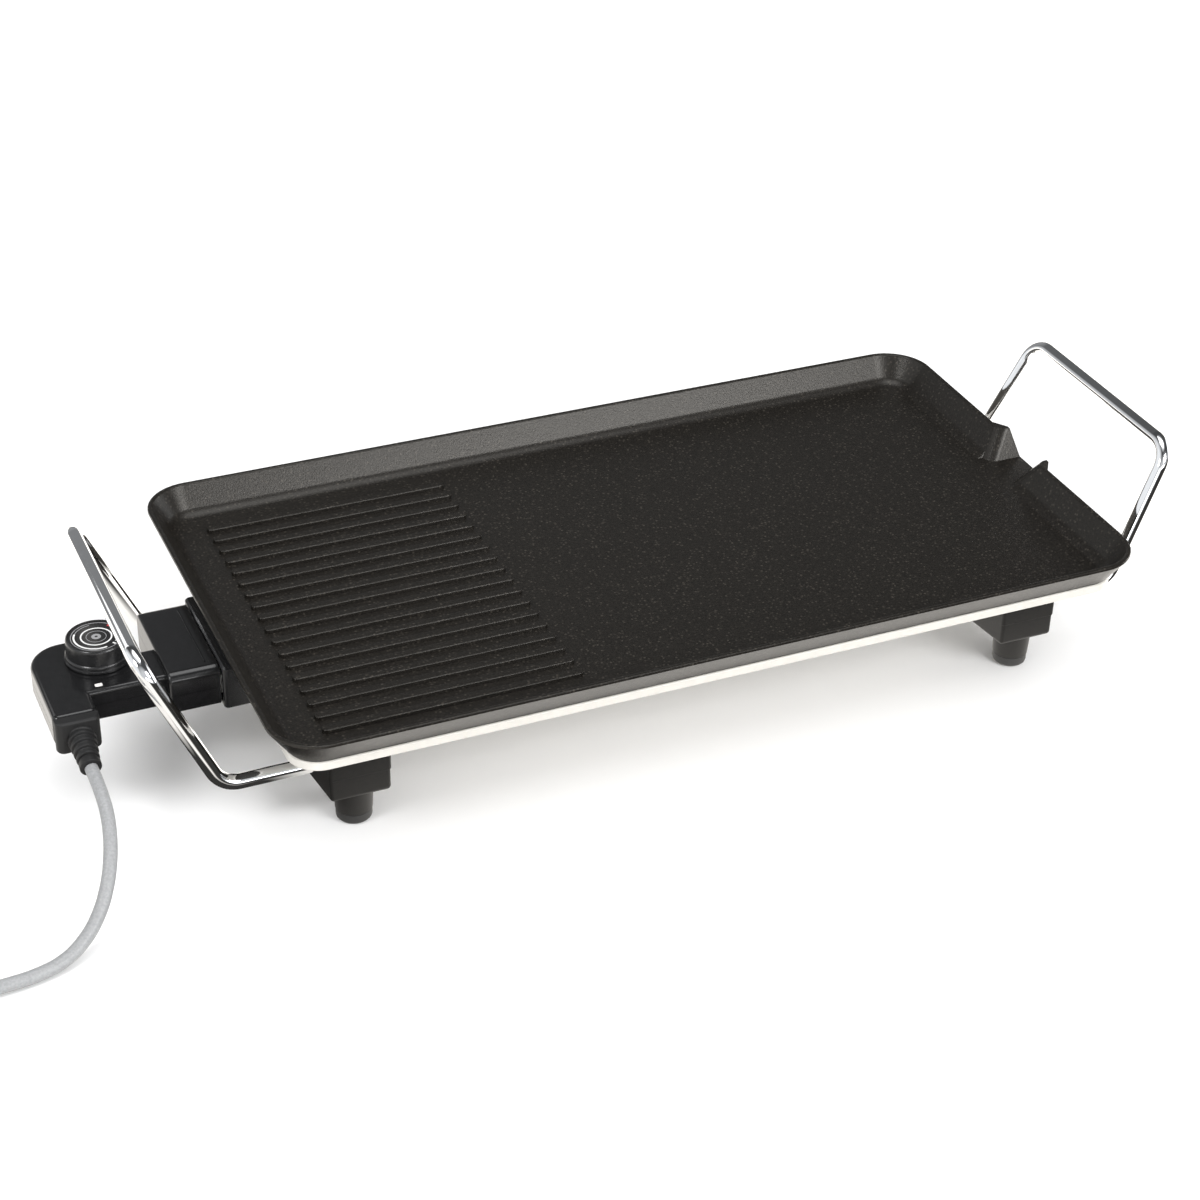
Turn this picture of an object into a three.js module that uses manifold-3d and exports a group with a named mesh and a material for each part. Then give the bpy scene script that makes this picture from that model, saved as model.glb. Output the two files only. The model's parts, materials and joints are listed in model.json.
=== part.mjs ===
// Electric griddle with a plug-in thermostat controller. Millimetres, +Z up.
// X runs along the long side (the controller is at -X, the pouring spout at +X), Y to the back.
import * as THREE from 'three';
import { mergeVertices } from 'three/addons/utils/BufferGeometryUtils.js';
import { ConvexGeometry } from 'three/addons/geometries/ConvexGeometry.js';
import Module from 'manifold-3d';

const wasm = await Module();
wasm.setup();

// ---------- driving dimensions ----------
// clearances
const restGap = 0.3;              // between pieces that touch
const runningGap = 0.15;          // radial, between pieces that slide or turn in each other
const wallGap = 0.5;              // between a housing and the wall that it fits under

// griddle plate
const plateLength = 480;
const plateWidth = 264;
const rimTop = 81;                // height of the rim above the table
const rimCorner = 26;
const rimWidth = 2.4;
const rimBand = 1.6;              // upright band at the top of the outer wall
const trayDepth = 15;
const innerFlare = 10;            // how far the inner wall leans out from floor to rim
const outerFlare = 9.8;
const floorThickness = 4;
const slabInset = 12;             // the underside slab, from the rim's outline
const ribPitch = 11.8;
const ribCount = Math.floor((plateWidth - 50) / ribPitch);
const ribWidth = 5;
const ribHeight = 2.2;
const ribRound = 0.9;
const ribStart = 29.7 - plateLength / 2;
const ribEnd = -73.5;

// pouring spout
const spoutReach = 9;             // lip beyond the rim's outline
const spoutCheekReach = 5;
const spoutMouth = 40;            // between the cheeks at the top
const spoutLip = 23;              // between the cheeks at the floor
const spoutWall = 2.2;
const spoutRoot = 62;             // width where the cheeks leave the wall
const spoutCornerRadius = 6;

// base pan
const panInset = 9.5;
const panTop = 64.5;
const panBottom = 59.3;
const sheet = 1;
const trayWellLength = plateLength - 160;       // deep part of the pan
const trayWellWidth = plateWidth - 64;
const trayWellBottom = 48;
const channelWidth = 52;          // carries the terminals to the socket
const channelBottom = 46.5;

// feet
const footX = plateLength / 2 - 49;
const footFront = plateWidth / 2 - 33.1;    // outer face of a foot block
const footBack = footFront - 38.9;
const footY = footFront - 13.9;
const footFaceWidth = 32;
const footBackWidth = 41;
const footBottom = 20.2;
const footRound = 2.6;
const footCorner = 1.2;
const stubTopRadius = 10.4;
const stubBottomRadius = 9.4;
const padHeight = 6;
const screwHeadRadius = 4.6;
const footScrewRadius = 2.4;
const counterboreTop = 13;
const footBossRadius = 6.5;

// handles
const rodRadius = 4;
const legY = footFront - 21.4;    // the legs lean in from here to the grip
const legHeight = 31;
const legEnd = footX + 11;        // where the rod ends inside the foot block
const legBend = plateLength / 2 + 15.5;
const gripX = plateLength / 2 + 50;
const gripY = legY - 8.5;
const gripHeight = 105.5;
const handleBend = 14;

// element and terminals
const elementRadius = 3.3;
const elementHeight = 58.2;
const elementHalfLength = plateLength / 2 - 100;
const elementRun = plateWidth / 2 - 62;
const pinSpacing = 32;
const terminalHeight = 53;
const pinRadius = 2.5;
const pinTip = 8 - plateLength / 2;
const wellRadius = 4.5;
const wellBore = 3.3;
const wellEnd = -elementHalfLength - 20;
const clampPlaces = { left: 80 - elementHalfLength, right: elementHalfLength - 60 };
const clampScrewRadius = 1.8;

// socket guard
const guardFace = -plateLength / 2 - 0.5;
const guardBack = guardFace + 34.5;
const guardY = [-34, 37.5];
const guardTop = 68.5;
const guardBottom = 43.5;
const guardWall = 2.5;
const earReach = 11;
const earThickness = 3;
const guardScrewX = guardFace + 22.5;

// controller
const splitHeight = 56;
const shellWall = 2.2;
const headX = [guardFace - 26.5, guardFace - 0.7];
const headY = [-31, 34.5];
const headZ = [44, 68];
const headRound = 5;
const neckY = [-24, 3];
const neckZ = [46.5, 64.5];
const armX = [guardFace - 87.1, guardFace - 64.5];
const armY = [-40, 25.5];
const armZ = [47.5, 64.5];
const armBackRadius = 18;
const dialX = guardFace - 53.5;
const dialY = 5;
const noseLength = 22;
const noseHalfWidth = 24;
const noseZ = [47.5, 58];
const contactRadius = 3.6;
const contactLength = 20;
const probeRadius = 3;
const probeTip = wellEnd - 3;
const shellScrews = [
  [armX[0] + 7.6, -20, armZ], [armX[0] + 14.6, 17, armZ],
  [headX[0] + 10, 20, headZ], [headX[0] + 10, -22, headZ],
];
const shellScrewRadius = 1.5;
const shellScrewTip = 61.7;
const shellPostRadius = 3.4;
const screwRecess = 2.6;

// dial
const dialBase = 64.8;
const dialTop = 77.5;
const dialRadius = 15.8;
const dialSkirtRadius = dialRadius + 1;
const dialDiscRadius = dialRadius - 1.6;
const dialBossRadius = dialRadius + 3.2;
const spindleRadius = 3;

// cord
const cordRadius = 3.4;
const coilRadius = 38.5;          // middle of the turns
const coilColumns = 3;
const coilLayers = 2;
const coilCentre = [armX[0] - 106.4, -108];
const coilLift = 1;               // the tie's band lies under the turns
const tieWidth = 10;
const tieBand = 1.2;
const tieAngle = 50;              // from +X, on the side away from the lead
const reliefRoot = new THREE.Vector3(armX[0] + 12, -40.5, 55.2);
const reliefEnd = new THREE.Vector3(armX[0] + 11.2, -67, 50.6);
const cordLow = cordRadius + 0.3;   // middle of a cord that lies on the table
const onCoilBase = coilLift + cordRadius;
// the lead's X is measured from the end of the strain relief, the tail's from the coil's middle
const leadRoute = [
  [0, -67, 50.6], [0.3, -75, 49], [0.5, -84, 46.6], [0.3, -93, 43], [-1.1, -103, 37.6],
  [-4, -113, 30.4], [-8.9, -123, 22], [-15.9, -132, 14], [-25.1, -140, cordLow + 4.3],
  [-36.1, -146.4, cordLow + 0.9], [-48.6, -150.4, cordLow], [-62.6, -152.6, cordLow + 0.3],
  [-75.6, -153.3, onCoilBase], [-87.6, -153.3, onCoilBase],
].map(([x, y, z]) => [reliefEnd.x + x, y, z]);
const tailX = -coilRadius - 2 * cordRadius;
const tailRoute = [
  [tailX, -80, 10.7], [tailX, -72, 9.6], [tailX, -64, 8.6], [tailX, -56, 8.3],
  [tailX, -48, 8.7], [tailX, -40, 9.1], [tailX, -34, 9.2],
].map(([x, y, z]) => [coilCentre[0] + x, y, z]);

// plug
const plugExit = new THREE.Vector3(...tailRoute.at(-1));
const plugBoot = 14;
const plugLength = 46;
const plugWidth = 50;
const plugThickness = 17;
const plugRadius = 9;
const pinSideSpread = 11.1;
const pinRowGap = 22.2;

// everything stands centred on its base, so the frame is shifted by half the uneven overhang
const leftEnd = armX[0];
const rightEnd = gripX + rodRadius;
const originShift = new THREE.Vector3(-(leftEnd + rightEnd) / 2, 0, 0);

// ---------- finishes ----------
const finishes = {
  nonstick: [0x2b2926, 0.45, 0.1],
  brightPan: [0xd9d4c4, 0.3, 0.8],
  bakelite: [0x1d1917, 0.55, 0],
  softPad: [0x151515, 0.9, 0],
  chrome: [0xd6d8da, 0.08, 1],
  steel: [0x9a9a98, 0.35, 1],
  sheath: [0x4a4744, 0.5, 0.8],
  brass: [0xb08d4a, 0.35, 1],
  ceramic: [0xe8e2d4, 0.6, 0],
  glossBlack: [0x0d0c0b, 0.12, 0],
  mattBlack: [0x2a2928, 0.7, 0],
  phenolic: [0x3a2a20, 0.7, 0],
  clearLens: [0xf2f2ee, 0.1, 0],
  print: [0x17171a, 0.3, 0],
  cordGrey: [0x8d8f8e, 0.6, 0],
};

// ---------- making and joining solids ----------
function solid(geometry) {
  geometry.deleteAttribute('normal');
  geometry.deleteAttribute('uv');
  const merged = mergeVertices(geometry, 1e-4);
  const points = Float32Array.from(merged.attributes.position.array);
  const source = merged.index.array;
  const corner = (i) => new THREE.Vector3().fromArray(points, 3 * i);
  const triangles = [];
  let volume = 0;
  for (let i = 0; i < source.length; i += 3) {
    const [a, b, c] = [source[i], source[i + 1], source[i + 2]];
    if (a === b || b === c || c === a) continue;
    triangles.push(a, b, c);
    volume += corner(a).dot(corner(b).cross(corner(c)));
  }
  if (volume < 0) triangles.reverse();
  const mesh = { numProp: 3, vertProperties: points, triVerts: Uint32Array.from(triangles) };
  return new wasm.Manifold(new wasm.Mesh(mesh));
}

function piece(name, body, finish) {
  const mesh = body.getMesh();
  const geometry = new THREE.BufferGeometry();
  geometry.setAttribute('position', new THREE.BufferAttribute(mesh.vertProperties, 3));
  geometry.setIndex(new THREE.BufferAttribute(mesh.triVerts, 1));
  geometry.computeVertexNormals();
  const [color, roughness, metalness] = finishes[finish];
  const part = new THREE.Mesh(geometry, new THREE.MeshStandardMaterial({ color, roughness, metalness }));
  part.name = name;
  return part;
}

const joined = (bodies) => bodies.reduce((sum, body) => sum.add(body));
const without = (body, cuts) => cuts.reduce((rest, cut) => rest.subtract(cut), body);

function block(x0, x1, y0, y1, z0, z1) {
  const geometry = new THREE.BoxGeometry(x1 - x0, y1 - y0, z1 - z0);
  return solid(geometry.translate((x0 + x1) / 2, (y0 + y1) / 2, (z0 + z1) / 2));
}

function hull(points) {
  return solid(new ConvexGeometry(points.map((p) => new THREE.Vector3(...p))));
}

// points round a rectangle with a radius at each corner, from the low corner anticlockwise
function roundedOutline(x0, x1, y0, y1, radii, segments) {
  const [a, b, c, d] = radii;
  const corners = [
    [x0 + a, y0 + a, a, 2], [x1 - b, y0 + b, b, 3], [x1 - c, y1 - c, c, 0], [x0 + d, y1 - d, d, 1],
  ];
  const points = [];
  for (const [x, y, radius, quarter] of corners) {
    for (let i = 0; i <= segments; i++) {
      const angle = (quarter + i / segments) * (Math.PI / 2);
      points.push([x + radius * Math.cos(angle), y + radius * Math.sin(angle)]);
    }
  }
  return points;
}

// a block with rounded upright edges, whose top and bottom edges are bevelled by edge
function roundedBlock(x0, x1, y0, y1, z0, z1, radius, edge = 0, segments = 4) {
  const radii = Array.isArray(radius) ? radius : [radius, radius, radius, radius];
  const steps = edge > 0 ? [[edge, 0], [0, edge]] : [[0, 0]];
  const points = [];
  for (const [inset, rise] of steps) {
    const kept = radii.map((r) => Math.max(r - inset, 0.05));
    const outline = roundedOutline(x0 + inset, x1 - inset, y0 + inset, y1 - inset, kept, segments);
    for (const [x, y] of outline) points.push([x, y, z0 + rise], [x, y, z1 - rise]);
  }
  return hull(points);
}

// a rounded rectangle centred on the plate, whose outline lies inset from the rim's outline
function plateOutline(inset, segments = 7) {
  const [halfLength, halfWidth] = [plateLength / 2 - inset, plateWidth / 2 - inset];
  const radius = rimCorner - inset;
  return roundedOutline(-halfLength, halfLength, -halfWidth, halfWidth, Array(4).fill(radius), segments);
}

// such a block that leans out by flare from z0 to z1, then stands upright to z2
function flaredBlock(inset, z0, z1, z2, flare) {
  const points = [];
  for (const [x, y] of plateOutline(inset + flare)) points.push([x, y, z0]);
  for (const [x, y] of plateOutline(inset)) points.push([x, y, z1], [x, y, z2]);
  return hull(points);
}

function plateBlock(inset, z0, z1) {
  return flaredBlock(inset, z0, z0, z1, 0);
}

// a turned body: the profile is [radius, height] from the bottom of the axis to its top
function turned(profile, segments = 16) {
  const points = profile.map(([radius, height]) => new THREE.Vector2(radius, height));
  return solid(new THREE.LatheGeometry(points, segments).rotateX(Math.PI / 2));
}

function cylinder(radius, z0, z1, segments = 12) {
  return turned([[0, z0], [radius, z0], [radius, z1], [0, z1]], segments);
}

const at = (body, x, y, z = 0) => body.translate([x, y, z]);
const alongX = (body) => body.rotate([0, 90, 0]);

// a round bar along X from x0 to x1
function bar(radius, x0, x1, y, z, segments = 12) {
  return at(alongX(cylinder(radius, x0, x1, segments)), 0, y, z);
}

// straight runs joined by bends of the given radius
function bentPath(points, radius) {
  const corners = points.map((p) => new THREE.Vector3(...p));
  const path = new THREE.CurvePath();
  let start = corners[0];
  for (let i = 1; i < corners.length - 1; i++) {
    const back = corners[i - 1].clone().sub(corners[i]).normalize();
    const ahead = corners[i + 1].clone().sub(corners[i]).normalize();
    const reach = radius / Math.tan(back.angleTo(ahead) / 2);
    const enter = corners[i].clone().addScaledVector(back, reach);
    const leave = corners[i].clone().addScaledVector(ahead, reach);
    path.add(new THREE.LineCurve3(start, enter));
    const pull = 0.6;
    const easeIn = enter.clone().lerp(corners[i], pull);
    const easeOut = leave.clone().lerp(corners[i], pull);
    path.add(new THREE.CubicBezierCurve3(enter, easeIn, easeOut, leave));
    start = leave;
  }
  path.add(new THREE.LineCurve3(start, corners[corners.length - 1]));
  return path;
}

function rod(path, radius, steps, sides = 12) {
  const section = new THREE.Shape();
  for (let i = 0; i < sides; i++) {
    const angle = (2 * Math.PI * i) / sides;
    const [x, y] = [radius * Math.cos(angle), radius * Math.sin(angle)];
    if (i === 0) section.moveTo(x, y);
    else section.lineTo(x, y);
  }
  return solid(new THREE.ExtrudeGeometry(section, { steps, extrudePath: path, bevelEnabled: false }));
}

// a screw that points up: head from z0 to z1, shank up to z2
function screw(headRadius, shankRadius, z0, z1, z2) {
  return turned([
    [0, z0], [headRadius * 0.8, z0], [headRadius, z1], [shankRadius, z1], [shankRadius, z2], [0, z2],
  ], 10);
}

// ---------- griddle ----------
const floorTop = rimTop - trayDepth;
const floorBottom = floorTop - floorThickness;
const slabTop = floorTop - sheet;
const footBossBottom = panBottom + sheet + restGap;
const blindDepth = floorTop - 1.2;
const sides = { left: -1, right: 1 };
const ends = { front: -1, rear: 1 };

function spoutBody() {
  const rim = plateLength / 2;
  const lip = rim + spoutReach;
  const cheek = rim + spoutCheekReach;
  const half = (width) => width / 2 + spoutWall;
  const points = [];
  for (const side of [-1, 1]) {
    points.push([rim - 6, side * (spoutRoot / 2), rimTop], [rim, side * (spoutRoot / 2), rimTop]);
    points.push([rim, side * (spoutRoot / 2), rimTop - rimBand]);
    points.push([cheek, side * half(spoutMouth), rimTop], [lip, side * half(spoutLip), floorTop]);
    points.push([lip - 3, side * half(spoutLip), slabTop - 1]);
    points.push([rim - slabInset, side * half(spoutLip + 8), slabTop]);
  }
  return hull(points);
}

function spoutChannel() {
  const rim = plateLength / 2;
  const points = [];
  const rise = (spoutMouth - spoutLip) / 2;
  for (const side of [-1, 1]) {
    for (const x of [rim - 30, rim + 2 * spoutReach]) {
      points.push([x, side * (spoutLip / 2), floorTop]);
      points.push([x, side * (spoutLip / 2 + 2 * rise), rimTop + trayDepth]);
    }
  }
  const corner = [];
  for (const side of [-1, 1]) {
    for (const [x, spread] of [[rim - 30, 2 * spoutCornerRadius], [rim - 4, 0]]) {
      corner.push([x, side * (spoutLip / 2 + spread), floorTop]);
      corner.push([x, side * (spoutMouth / 2 + spread + rise), rimTop + trayDepth]);
    }
  }
  return hull(points).add(hull(corner));
}

function ribs() {
  const rows = [];
  const half = ribWidth / 2;
  const rib = roundedBlock(
    ribStart, ribEnd, -half, half, floorTop - 2, floorTop + ribHeight, half - 0.05, ribRound, 2);
  for (let i = 0; i < ribCount; i++) rows.push(at(rib, 0, (i - (ribCount - 1) / 2) * ribPitch));
  return rows;
}

function footPlaces() {
  const places = [];
  for (const [end, sy] of Object.entries(ends)) {
    for (const [side, sx] of Object.entries(sides)) places.push({ name: `${end}_${side}`, sx, sy });
  }
  return places;
}

function griddlePlate() {
  const outer = flaredBlock(0, slabTop, rimTop - rimBand, rimTop, outerFlare);
  const inner = flaredBlock(rimWidth, floorTop, rimTop, rimTop + 1, innerFlare);
  const bosses = [];
  const bores = [];
  for (const { sx, sy } of footPlaces()) {
    bosses.push(at(cylinder(footBossRadius, footBossBottom, floorTop - 1), sx * footX, sy * footY));
    const bore = cylinder(footScrewRadius + restGap, footBossBottom - 1, blindDepth, 12);
    bores.push(at(bore, sx * footX, sy * footY));
  }
  for (const x of Object.values(clampPlaces)) {
    bosses.push(at(cylinder(6, elementHeight - elementRadius, floorTop - 1), x, 0));
    bores.push(at(cylinder(clampScrewRadius + restGap, elementHeight - 6, blindDepth, 12), x, 0));
  }
  for (const sy of Object.values(ends)) {
    const y = earY(sy);
    bosses.push(at(cylinder(4.4, panBottom, floorTop - 1), guardScrewX, y));
    bores.push(at(cylinder(clampScrewRadius + restGap, panBottom - 1, blindDepth, 12), guardScrewX, y));
  }
  const wellTop = terminalHeight + wellRadius + restGap;
  bosses.push(block(40 - plateLength / 2, wellEnd, -6, 6, wellTop, floorTop - 1));
  const body = joined([outer, plateBlock(slabInset, floorBottom, slabTop + 0.5), spoutBody()]);
  const hollow = without(body, [inner, spoutChannel()]);
  return piece('griddle_plate', without(joined([hollow, ...ribs(), ...bosses]), bores), 'nonstick');
}

function basePan() {
  const well = (grow, z0, z1) => roundedBlock(
    -trayWellLength / 2 - grow, trayWellLength / 2 + grow,
    -trayWellWidth / 2 - grow, trayWellWidth / 2 + grow, z0, z1, 12 + grow);
  const half = channelWidth / 2;
  const channelX = [guardBack + restGap, -trayWellLength / 2 + 20];
  const body = joined([
    plateBlock(panInset, panBottom, panTop),
    well(0, trayWellBottom, panBottom + sheet),
    block(...channelX, -half, half, channelBottom, panBottom + sheet),
  ]);
  const cuts = [
    plateBlock(panInset + sheet, panBottom + sheet, panTop + 1),
    well(-sheet, trayWellBottom + sheet, panTop),
    block(channelX[0] - 1, channelX[1], -half + sheet, half - sheet, channelBottom + sheet, panTop),
    block(-plateLength / 2, guardBack + restGap, guardY[0] - earReach - 1,
      guardY[1] + earReach + 1, panBottom - 1, panTop + 1),
  ];
  for (const { sx, sy } of footPlaces()) {
    cuts.push(at(cylinder(footScrewRadius + 2 * restGap, panBottom - 1, panTop, 12), sx * footX, sy * footY));
  }
  return piece('base_pan', without(body, cuts), 'brightPan');
}

function footBlock({ name, sx, sy }) {
  const front = footFaceWidth / 2;
  const back = footBackWidth / 2;
  const top = panBottom - restGap;
  const points = [];
  for (const side of [-1, 1]) {
    const x = sx * footX;
    for (const [inset, z] of [[footRound, footBottom], [0.3 * footRound, footBottom + 0.3 * footRound],
      [0, footBottom + footRound], [0, top]]) {
      points.push([x + side * (front - footCorner - inset), sy * (footFront - inset), z]);
      points.push([x + side * (front - inset), sy * (footFront - footCorner - inset), z]);
      points.push([x + side * (back - inset), sy * (footBack + inset), z]);
    }
  }
  const bodyBlock = hull(points);
  const stub = at(turned([
    [0, padHeight], [stubBottomRadius, padHeight], [stubTopRadius, footBottom + footRound],
    [stubTopRadius, footBottom + 8], [0, footBottom + 8],
  ], 16), sx * footX, sy * footY);
  const counterbore = cylinder(screwHeadRadius + restGap, padHeight - 1, counterboreTop, 12);
  const bore = cylinder(footScrewRadius + restGap, padHeight, top + 1, 12);
  const socket = bar(rodRadius + restGap, ...[legEnd - 1, footX + back + 5].map((x) => sx * x).sort(
    (a, b) => a - b), sy * legY, legHeight, 12);
  const cuts = [at(counterbore, sx * footX, sy * footY), at(bore, sx * footX, sy * footY), socket];
  return piece(`foot_${name}`, without(joined([bodyBlock, stub]), cuts), 'bakelite');
}

function footPad({ name, sx, sy }) {
  const seat = padHeight - restGap;
  const body = turned([
    [0, 0], [stubBottomRadius - 1.2, 0], [stubBottomRadius - 0.2, 1], [stubBottomRadius - 0.2, seat],
    [screwHeadRadius - 0.2, seat], [screwHeadRadius - 0.2, seat + 1.6], [0, seat + 1.6],
  ], 14);
  return piece(`foot_pad_${name}`, at(body, sx * footX, sy * footY), 'softPad');
}

function footScrew({ name, sx, sy }) {
  const headTop = counterboreTop - restGap;
  const body = screw(screwHeadRadius, footScrewRadius, headTop - 3, headTop, blindDepth - restGap);
  return piece(`foot_screw_${name}`, at(body, sx * footX, sy * footY), 'steel');
}

function handle(side, sx) {
  const path = bentPath([
    [sx * legEnd, -legY, legHeight], [sx * legBend, -legY, legHeight],
    [sx * gripX, -gripY, gripHeight], [sx * gripX, gripY, gripHeight],
    [sx * legBend, legY, legHeight], [sx * legEnd, legY, legHeight],
  ], handleBend);
  return piece(`handle_${side}`, rod(path, rodRadius, 54, 10), 'chrome');
}

function heatingElement() {
  const [start, turn] = [guardBack + 2.8, -trayWellLength / 2];
  const low = terminalHeight;
  const high = elementHeight;
  const half = pinSpacing / 2;
  const side = (s) => [
    [start, s * half, low], [turn - 18, s * half, low], [turn + 10, s * (half + 1), high],
    [turn + 40, s * elementRun, high], [elementHalfLength, s * elementRun, high],
  ];
  const path = bentPath([...side(-1), ...side(1).reverse()], 10);
  return piece('heating_element', rod(path, elementRadius, 66, 8), 'sheath');
}

function terminal(end, sy) {
  const y = (sy * pinSpacing) / 2;
  const pin = joined([
    bar(pinRadius, pinTip + 1.5, guardBack + 2.5, y, terminalHeight),
    bar(pinRadius - 0.9, pinTip, pinTip + 2, y, terminalHeight),
  ]);
  const bush = without(bar(5, guardBack - 5, guardBack + 2, y, terminalHeight, 12), [
    bar(pinRadius + restGap, guardBack - 6, guardBack + 3, y, terminalHeight, 12),
  ]);
  return [piece(`element_pin_${end}`, pin, 'steel'), piece(`element_bush_${end}`, bush, 'ceramic')];
}

function probeWell() {
  const tube = bar(wellRadius, guardBack - 4, wellEnd, 0, terminalHeight, 12);
  const bore = bar(wellBore, guardBack - 5, wellEnd - 1.5, 0, terminalHeight, 12);
  return piece('probe_well', without(tube, [bore]), 'steel');
}

function elementClamp(side, x) {
  const top = elementHeight - elementRadius - restGap;
  const reach = elementRun + 10;
  const strap = roundedBlock(x - 7, x + 7, -reach, reach, top - 1.5, top, 4, 0, 3);
  const hole = at(cylinder(clampScrewRadius + restGap, top - 3, top + 1, 12), x, 0);
  const holder = screw(3.2, clampScrewRadius, top - 3.6, top - 1.5 - restGap, blindDepth - restGap);
  return [
    piece(`element_clamp_${side}`, without(strap, [hole]), 'steel'),
    piece(`clamp_screw_${side}`, at(holder, x, 0), 'steel'),
  ];
}

function earY(s) {
  return (s < 0 ? guardY[0] : guardY[1]) + (s * earReach) / 2;
}

function socketGuard() {
  const ceiling = floorBottom - wallGap;
  const shell = roundedBlock(
    guardFace, guardBack, ...guardY, guardBottom, guardTop, 1.9, 1.2, 3);
  const plateAbove = flaredBlock(-wallGap, slabTop - wallGap, rimTop - rimBand, rimTop, outerFlare);
  const slabEdge = -plateLength / 2 + slabInset - wallGap;
  const rearAbove = block(slabEdge, 0, -plateWidth, plateWidth, ceiling, rimTop);
  const inside = [guardY[0] + guardWall, guardY[1] - guardWall];
  const cavity = block(guardFace - 1, guardBack - guardWall, ...inside, guardBottom + guardWall,
    ceiling - guardWall);
  const mouth = block(guardFace - 1, guardFace + 4.5, ...inside, guardBottom + guardWall,
    guardTop - guardWall);
  const ears = [];
  const holes = [bar(wellRadius + restGap, guardBack - 5, guardBack + 1, 0, terminalHeight, 12)];
  for (const s of Object.values(ends)) {
    const side = s < 0 ? guardY[0] : guardY[1];
    const [y0, y1] = [side - s, side + s * earReach].sort((a, b) => a - b);
    ears.push(block(guardScrewX - 6, guardScrewX + 6, y0, y1, panBottom - restGap - earThickness,
      panBottom - restGap));
    holes.push(at(cylinder(clampScrewRadius + restGap, guardBottom, panTop, 12), guardScrewX, earY(s)));
    holes.push(bar(5 + restGap, guardBack - 5, guardBack + 1, (s * pinSpacing) / 2, terminalHeight, 12));
  }
  const body = without(shell, [plateAbove, rearAbove, cavity, mouth]);
  return piece('socket_guard', without(joined([body, ...ears]), holes), 'glossBlack');
}

function guardScrew(end, s) {
  const under = panBottom - restGap - earThickness;
  const body = screw(3.2, clampScrewRadius, under - restGap - 2.2, under - restGap, blindDepth - restGap);
  return piece(`guard_screw_${end}`, at(body, guardScrewX, earY(s)), 'steel');
}

// ---------- controller ----------
// the outside of both shells, moved in by inset for the hollow
function controllerBody(inset) {
  const fit = (range, by) => [range[0] + by, range[1] - by];
  const edge = Math.max(1.6 - inset / 2, 0.4);
  const [x0, x1] = fit(headX, inset);
  const [z0, z1] = fit(headZ, inset);
  const [y0, y1] = fit(headY, inset);
  const corner = Math.max(headRound - inset, 1);
  const head = roundedBlock(z0, z1, y0, y1, 0, x1 - x0, corner, 0, 5)
    .rotate([0, -90, 0]).translate([x1, 0, 0]);
  const neck = roundedBlock(
    armX[0] + 8, headX[0] + 6, neckY[0] + inset, neckY[1] - inset, neckZ[0] + inset, neckZ[1] - inset,
    edge + 0.6, edge, 3);
  const armRadii = [3, 3, 8, armBackRadius].map((radius) => Math.max(radius - inset, edge + 0.6));
  const arm = roundedBlock(
    armX[0] + inset, armX[1] - inset, armY[0] + inset, armY[1] - inset, armZ[0] + inset,
    armZ[1] - inset, armRadii, edge, 4);
  const reach = dialBossRadius - inset;
  const boss = roundedBlock(
    dialX - reach, dialX + reach, dialY - reach, dialY + reach, armZ[0] + inset, armZ[1] - inset,
    reach - 0.05, edge, 6);
  return joined([head, neck, arm, boss]);
}

const halfSpace = (z0, z1) => block(armX[0] - 10, guardBack + 10, -100, 100, z0, z1);

function reliefFrame() {
  const direction = reliefEnd.clone().sub(reliefRoot).normalize();
  const turn = new THREE.Quaternion().setFromUnitVectors(new THREE.Vector3(0, 0, 1), direction);
  return new THREE.Matrix4().compose(reliefRoot, turn, new THREE.Vector3(1, 1, 1));
}

const onRelief = (body) => body.transform(reliefFrame().toArray());

function controllerShells() {
  const outer = controllerBody(0);
  const hollow = controllerBody(shellWall);
  const noseHole = block(headX[1] - shellWall - 1, headX[1] + 1, -noseHalfWidth - restGap,
    noseHalfWidth + restGap, noseZ[0] - restGap, noseZ[1] + restGap);
  const reliefHole = onRelief(cylinder(7.2 + restGap, -12, 12, 12));
  const spindleHole = at(cylinder(spindleRadius + runningGap, armZ[0] + 8, dialTop, 12), dialX, dialY);
  const lensHole = block(...lensBox(restGap));
  const open = [hollow, noseHole, reliefHole, spindleHole, lensHole];
  const post = (z0, z1, x, y) => at(cylinder(shellPostRadius, z0, z1, 10), x, y);
  const bore = (z0, z1, x, y) => at(cylinder(shellScrewRadius + restGap, z0, z1, 8), x, y);
  const recess = (zone, x, y) => at(cylinder(3, zone[0] - 2, zone[0] + screwRecess, 10), x, y);
  const upperPosts = shellScrews.map(([x, y, zone]) => post(splitHeight + restGap, zone[1] - 1, x, y));
  const upperBores = shellScrews.map(([x, y]) => bore(splitHeight - 1, shellScrewTip + restGap, x, y));
  const upperHalf = without(outer.intersect(halfSpace(splitHeight + restGap / 2, 90)), open);
  const upper = without(joined([upperHalf, ...upperPosts]), upperBores);
  const lowerPosts = shellScrews.map(([x, y, zone]) => post(zone[0] + 1, splitHeight - restGap, x, y));
  const lowerBores = shellScrews.map(([x, y, zone]) => bore(zone[0] - 2, splitHeight + 1, x, y));
  const recesses = shellScrews.map(([x, y, zone]) => recess(zone, x, y));
  const lowerHalf = without(outer.intersect(halfSpace(30, splitHeight - restGap / 2)), open);
  const lower = without(joined([lowerHalf, ...lowerPosts]), [...lowerBores, ...recesses]);
  return [
    piece('controller_upper_shell', upper, 'glossBlack'),
    piece('controller_lower_shell', lower, 'glossBlack'),
  ];
}

function shellScrewPiece([x, y, zone], number) {
  const seat = zone[0] + screwRecess - restGap;
  const body = screw(2.6, shellScrewRadius, seat - 1.6, seat, shellScrewTip);
  return piece(`shell_screw_${number + 1}`, at(body, x, y), 'steel');
}

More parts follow.
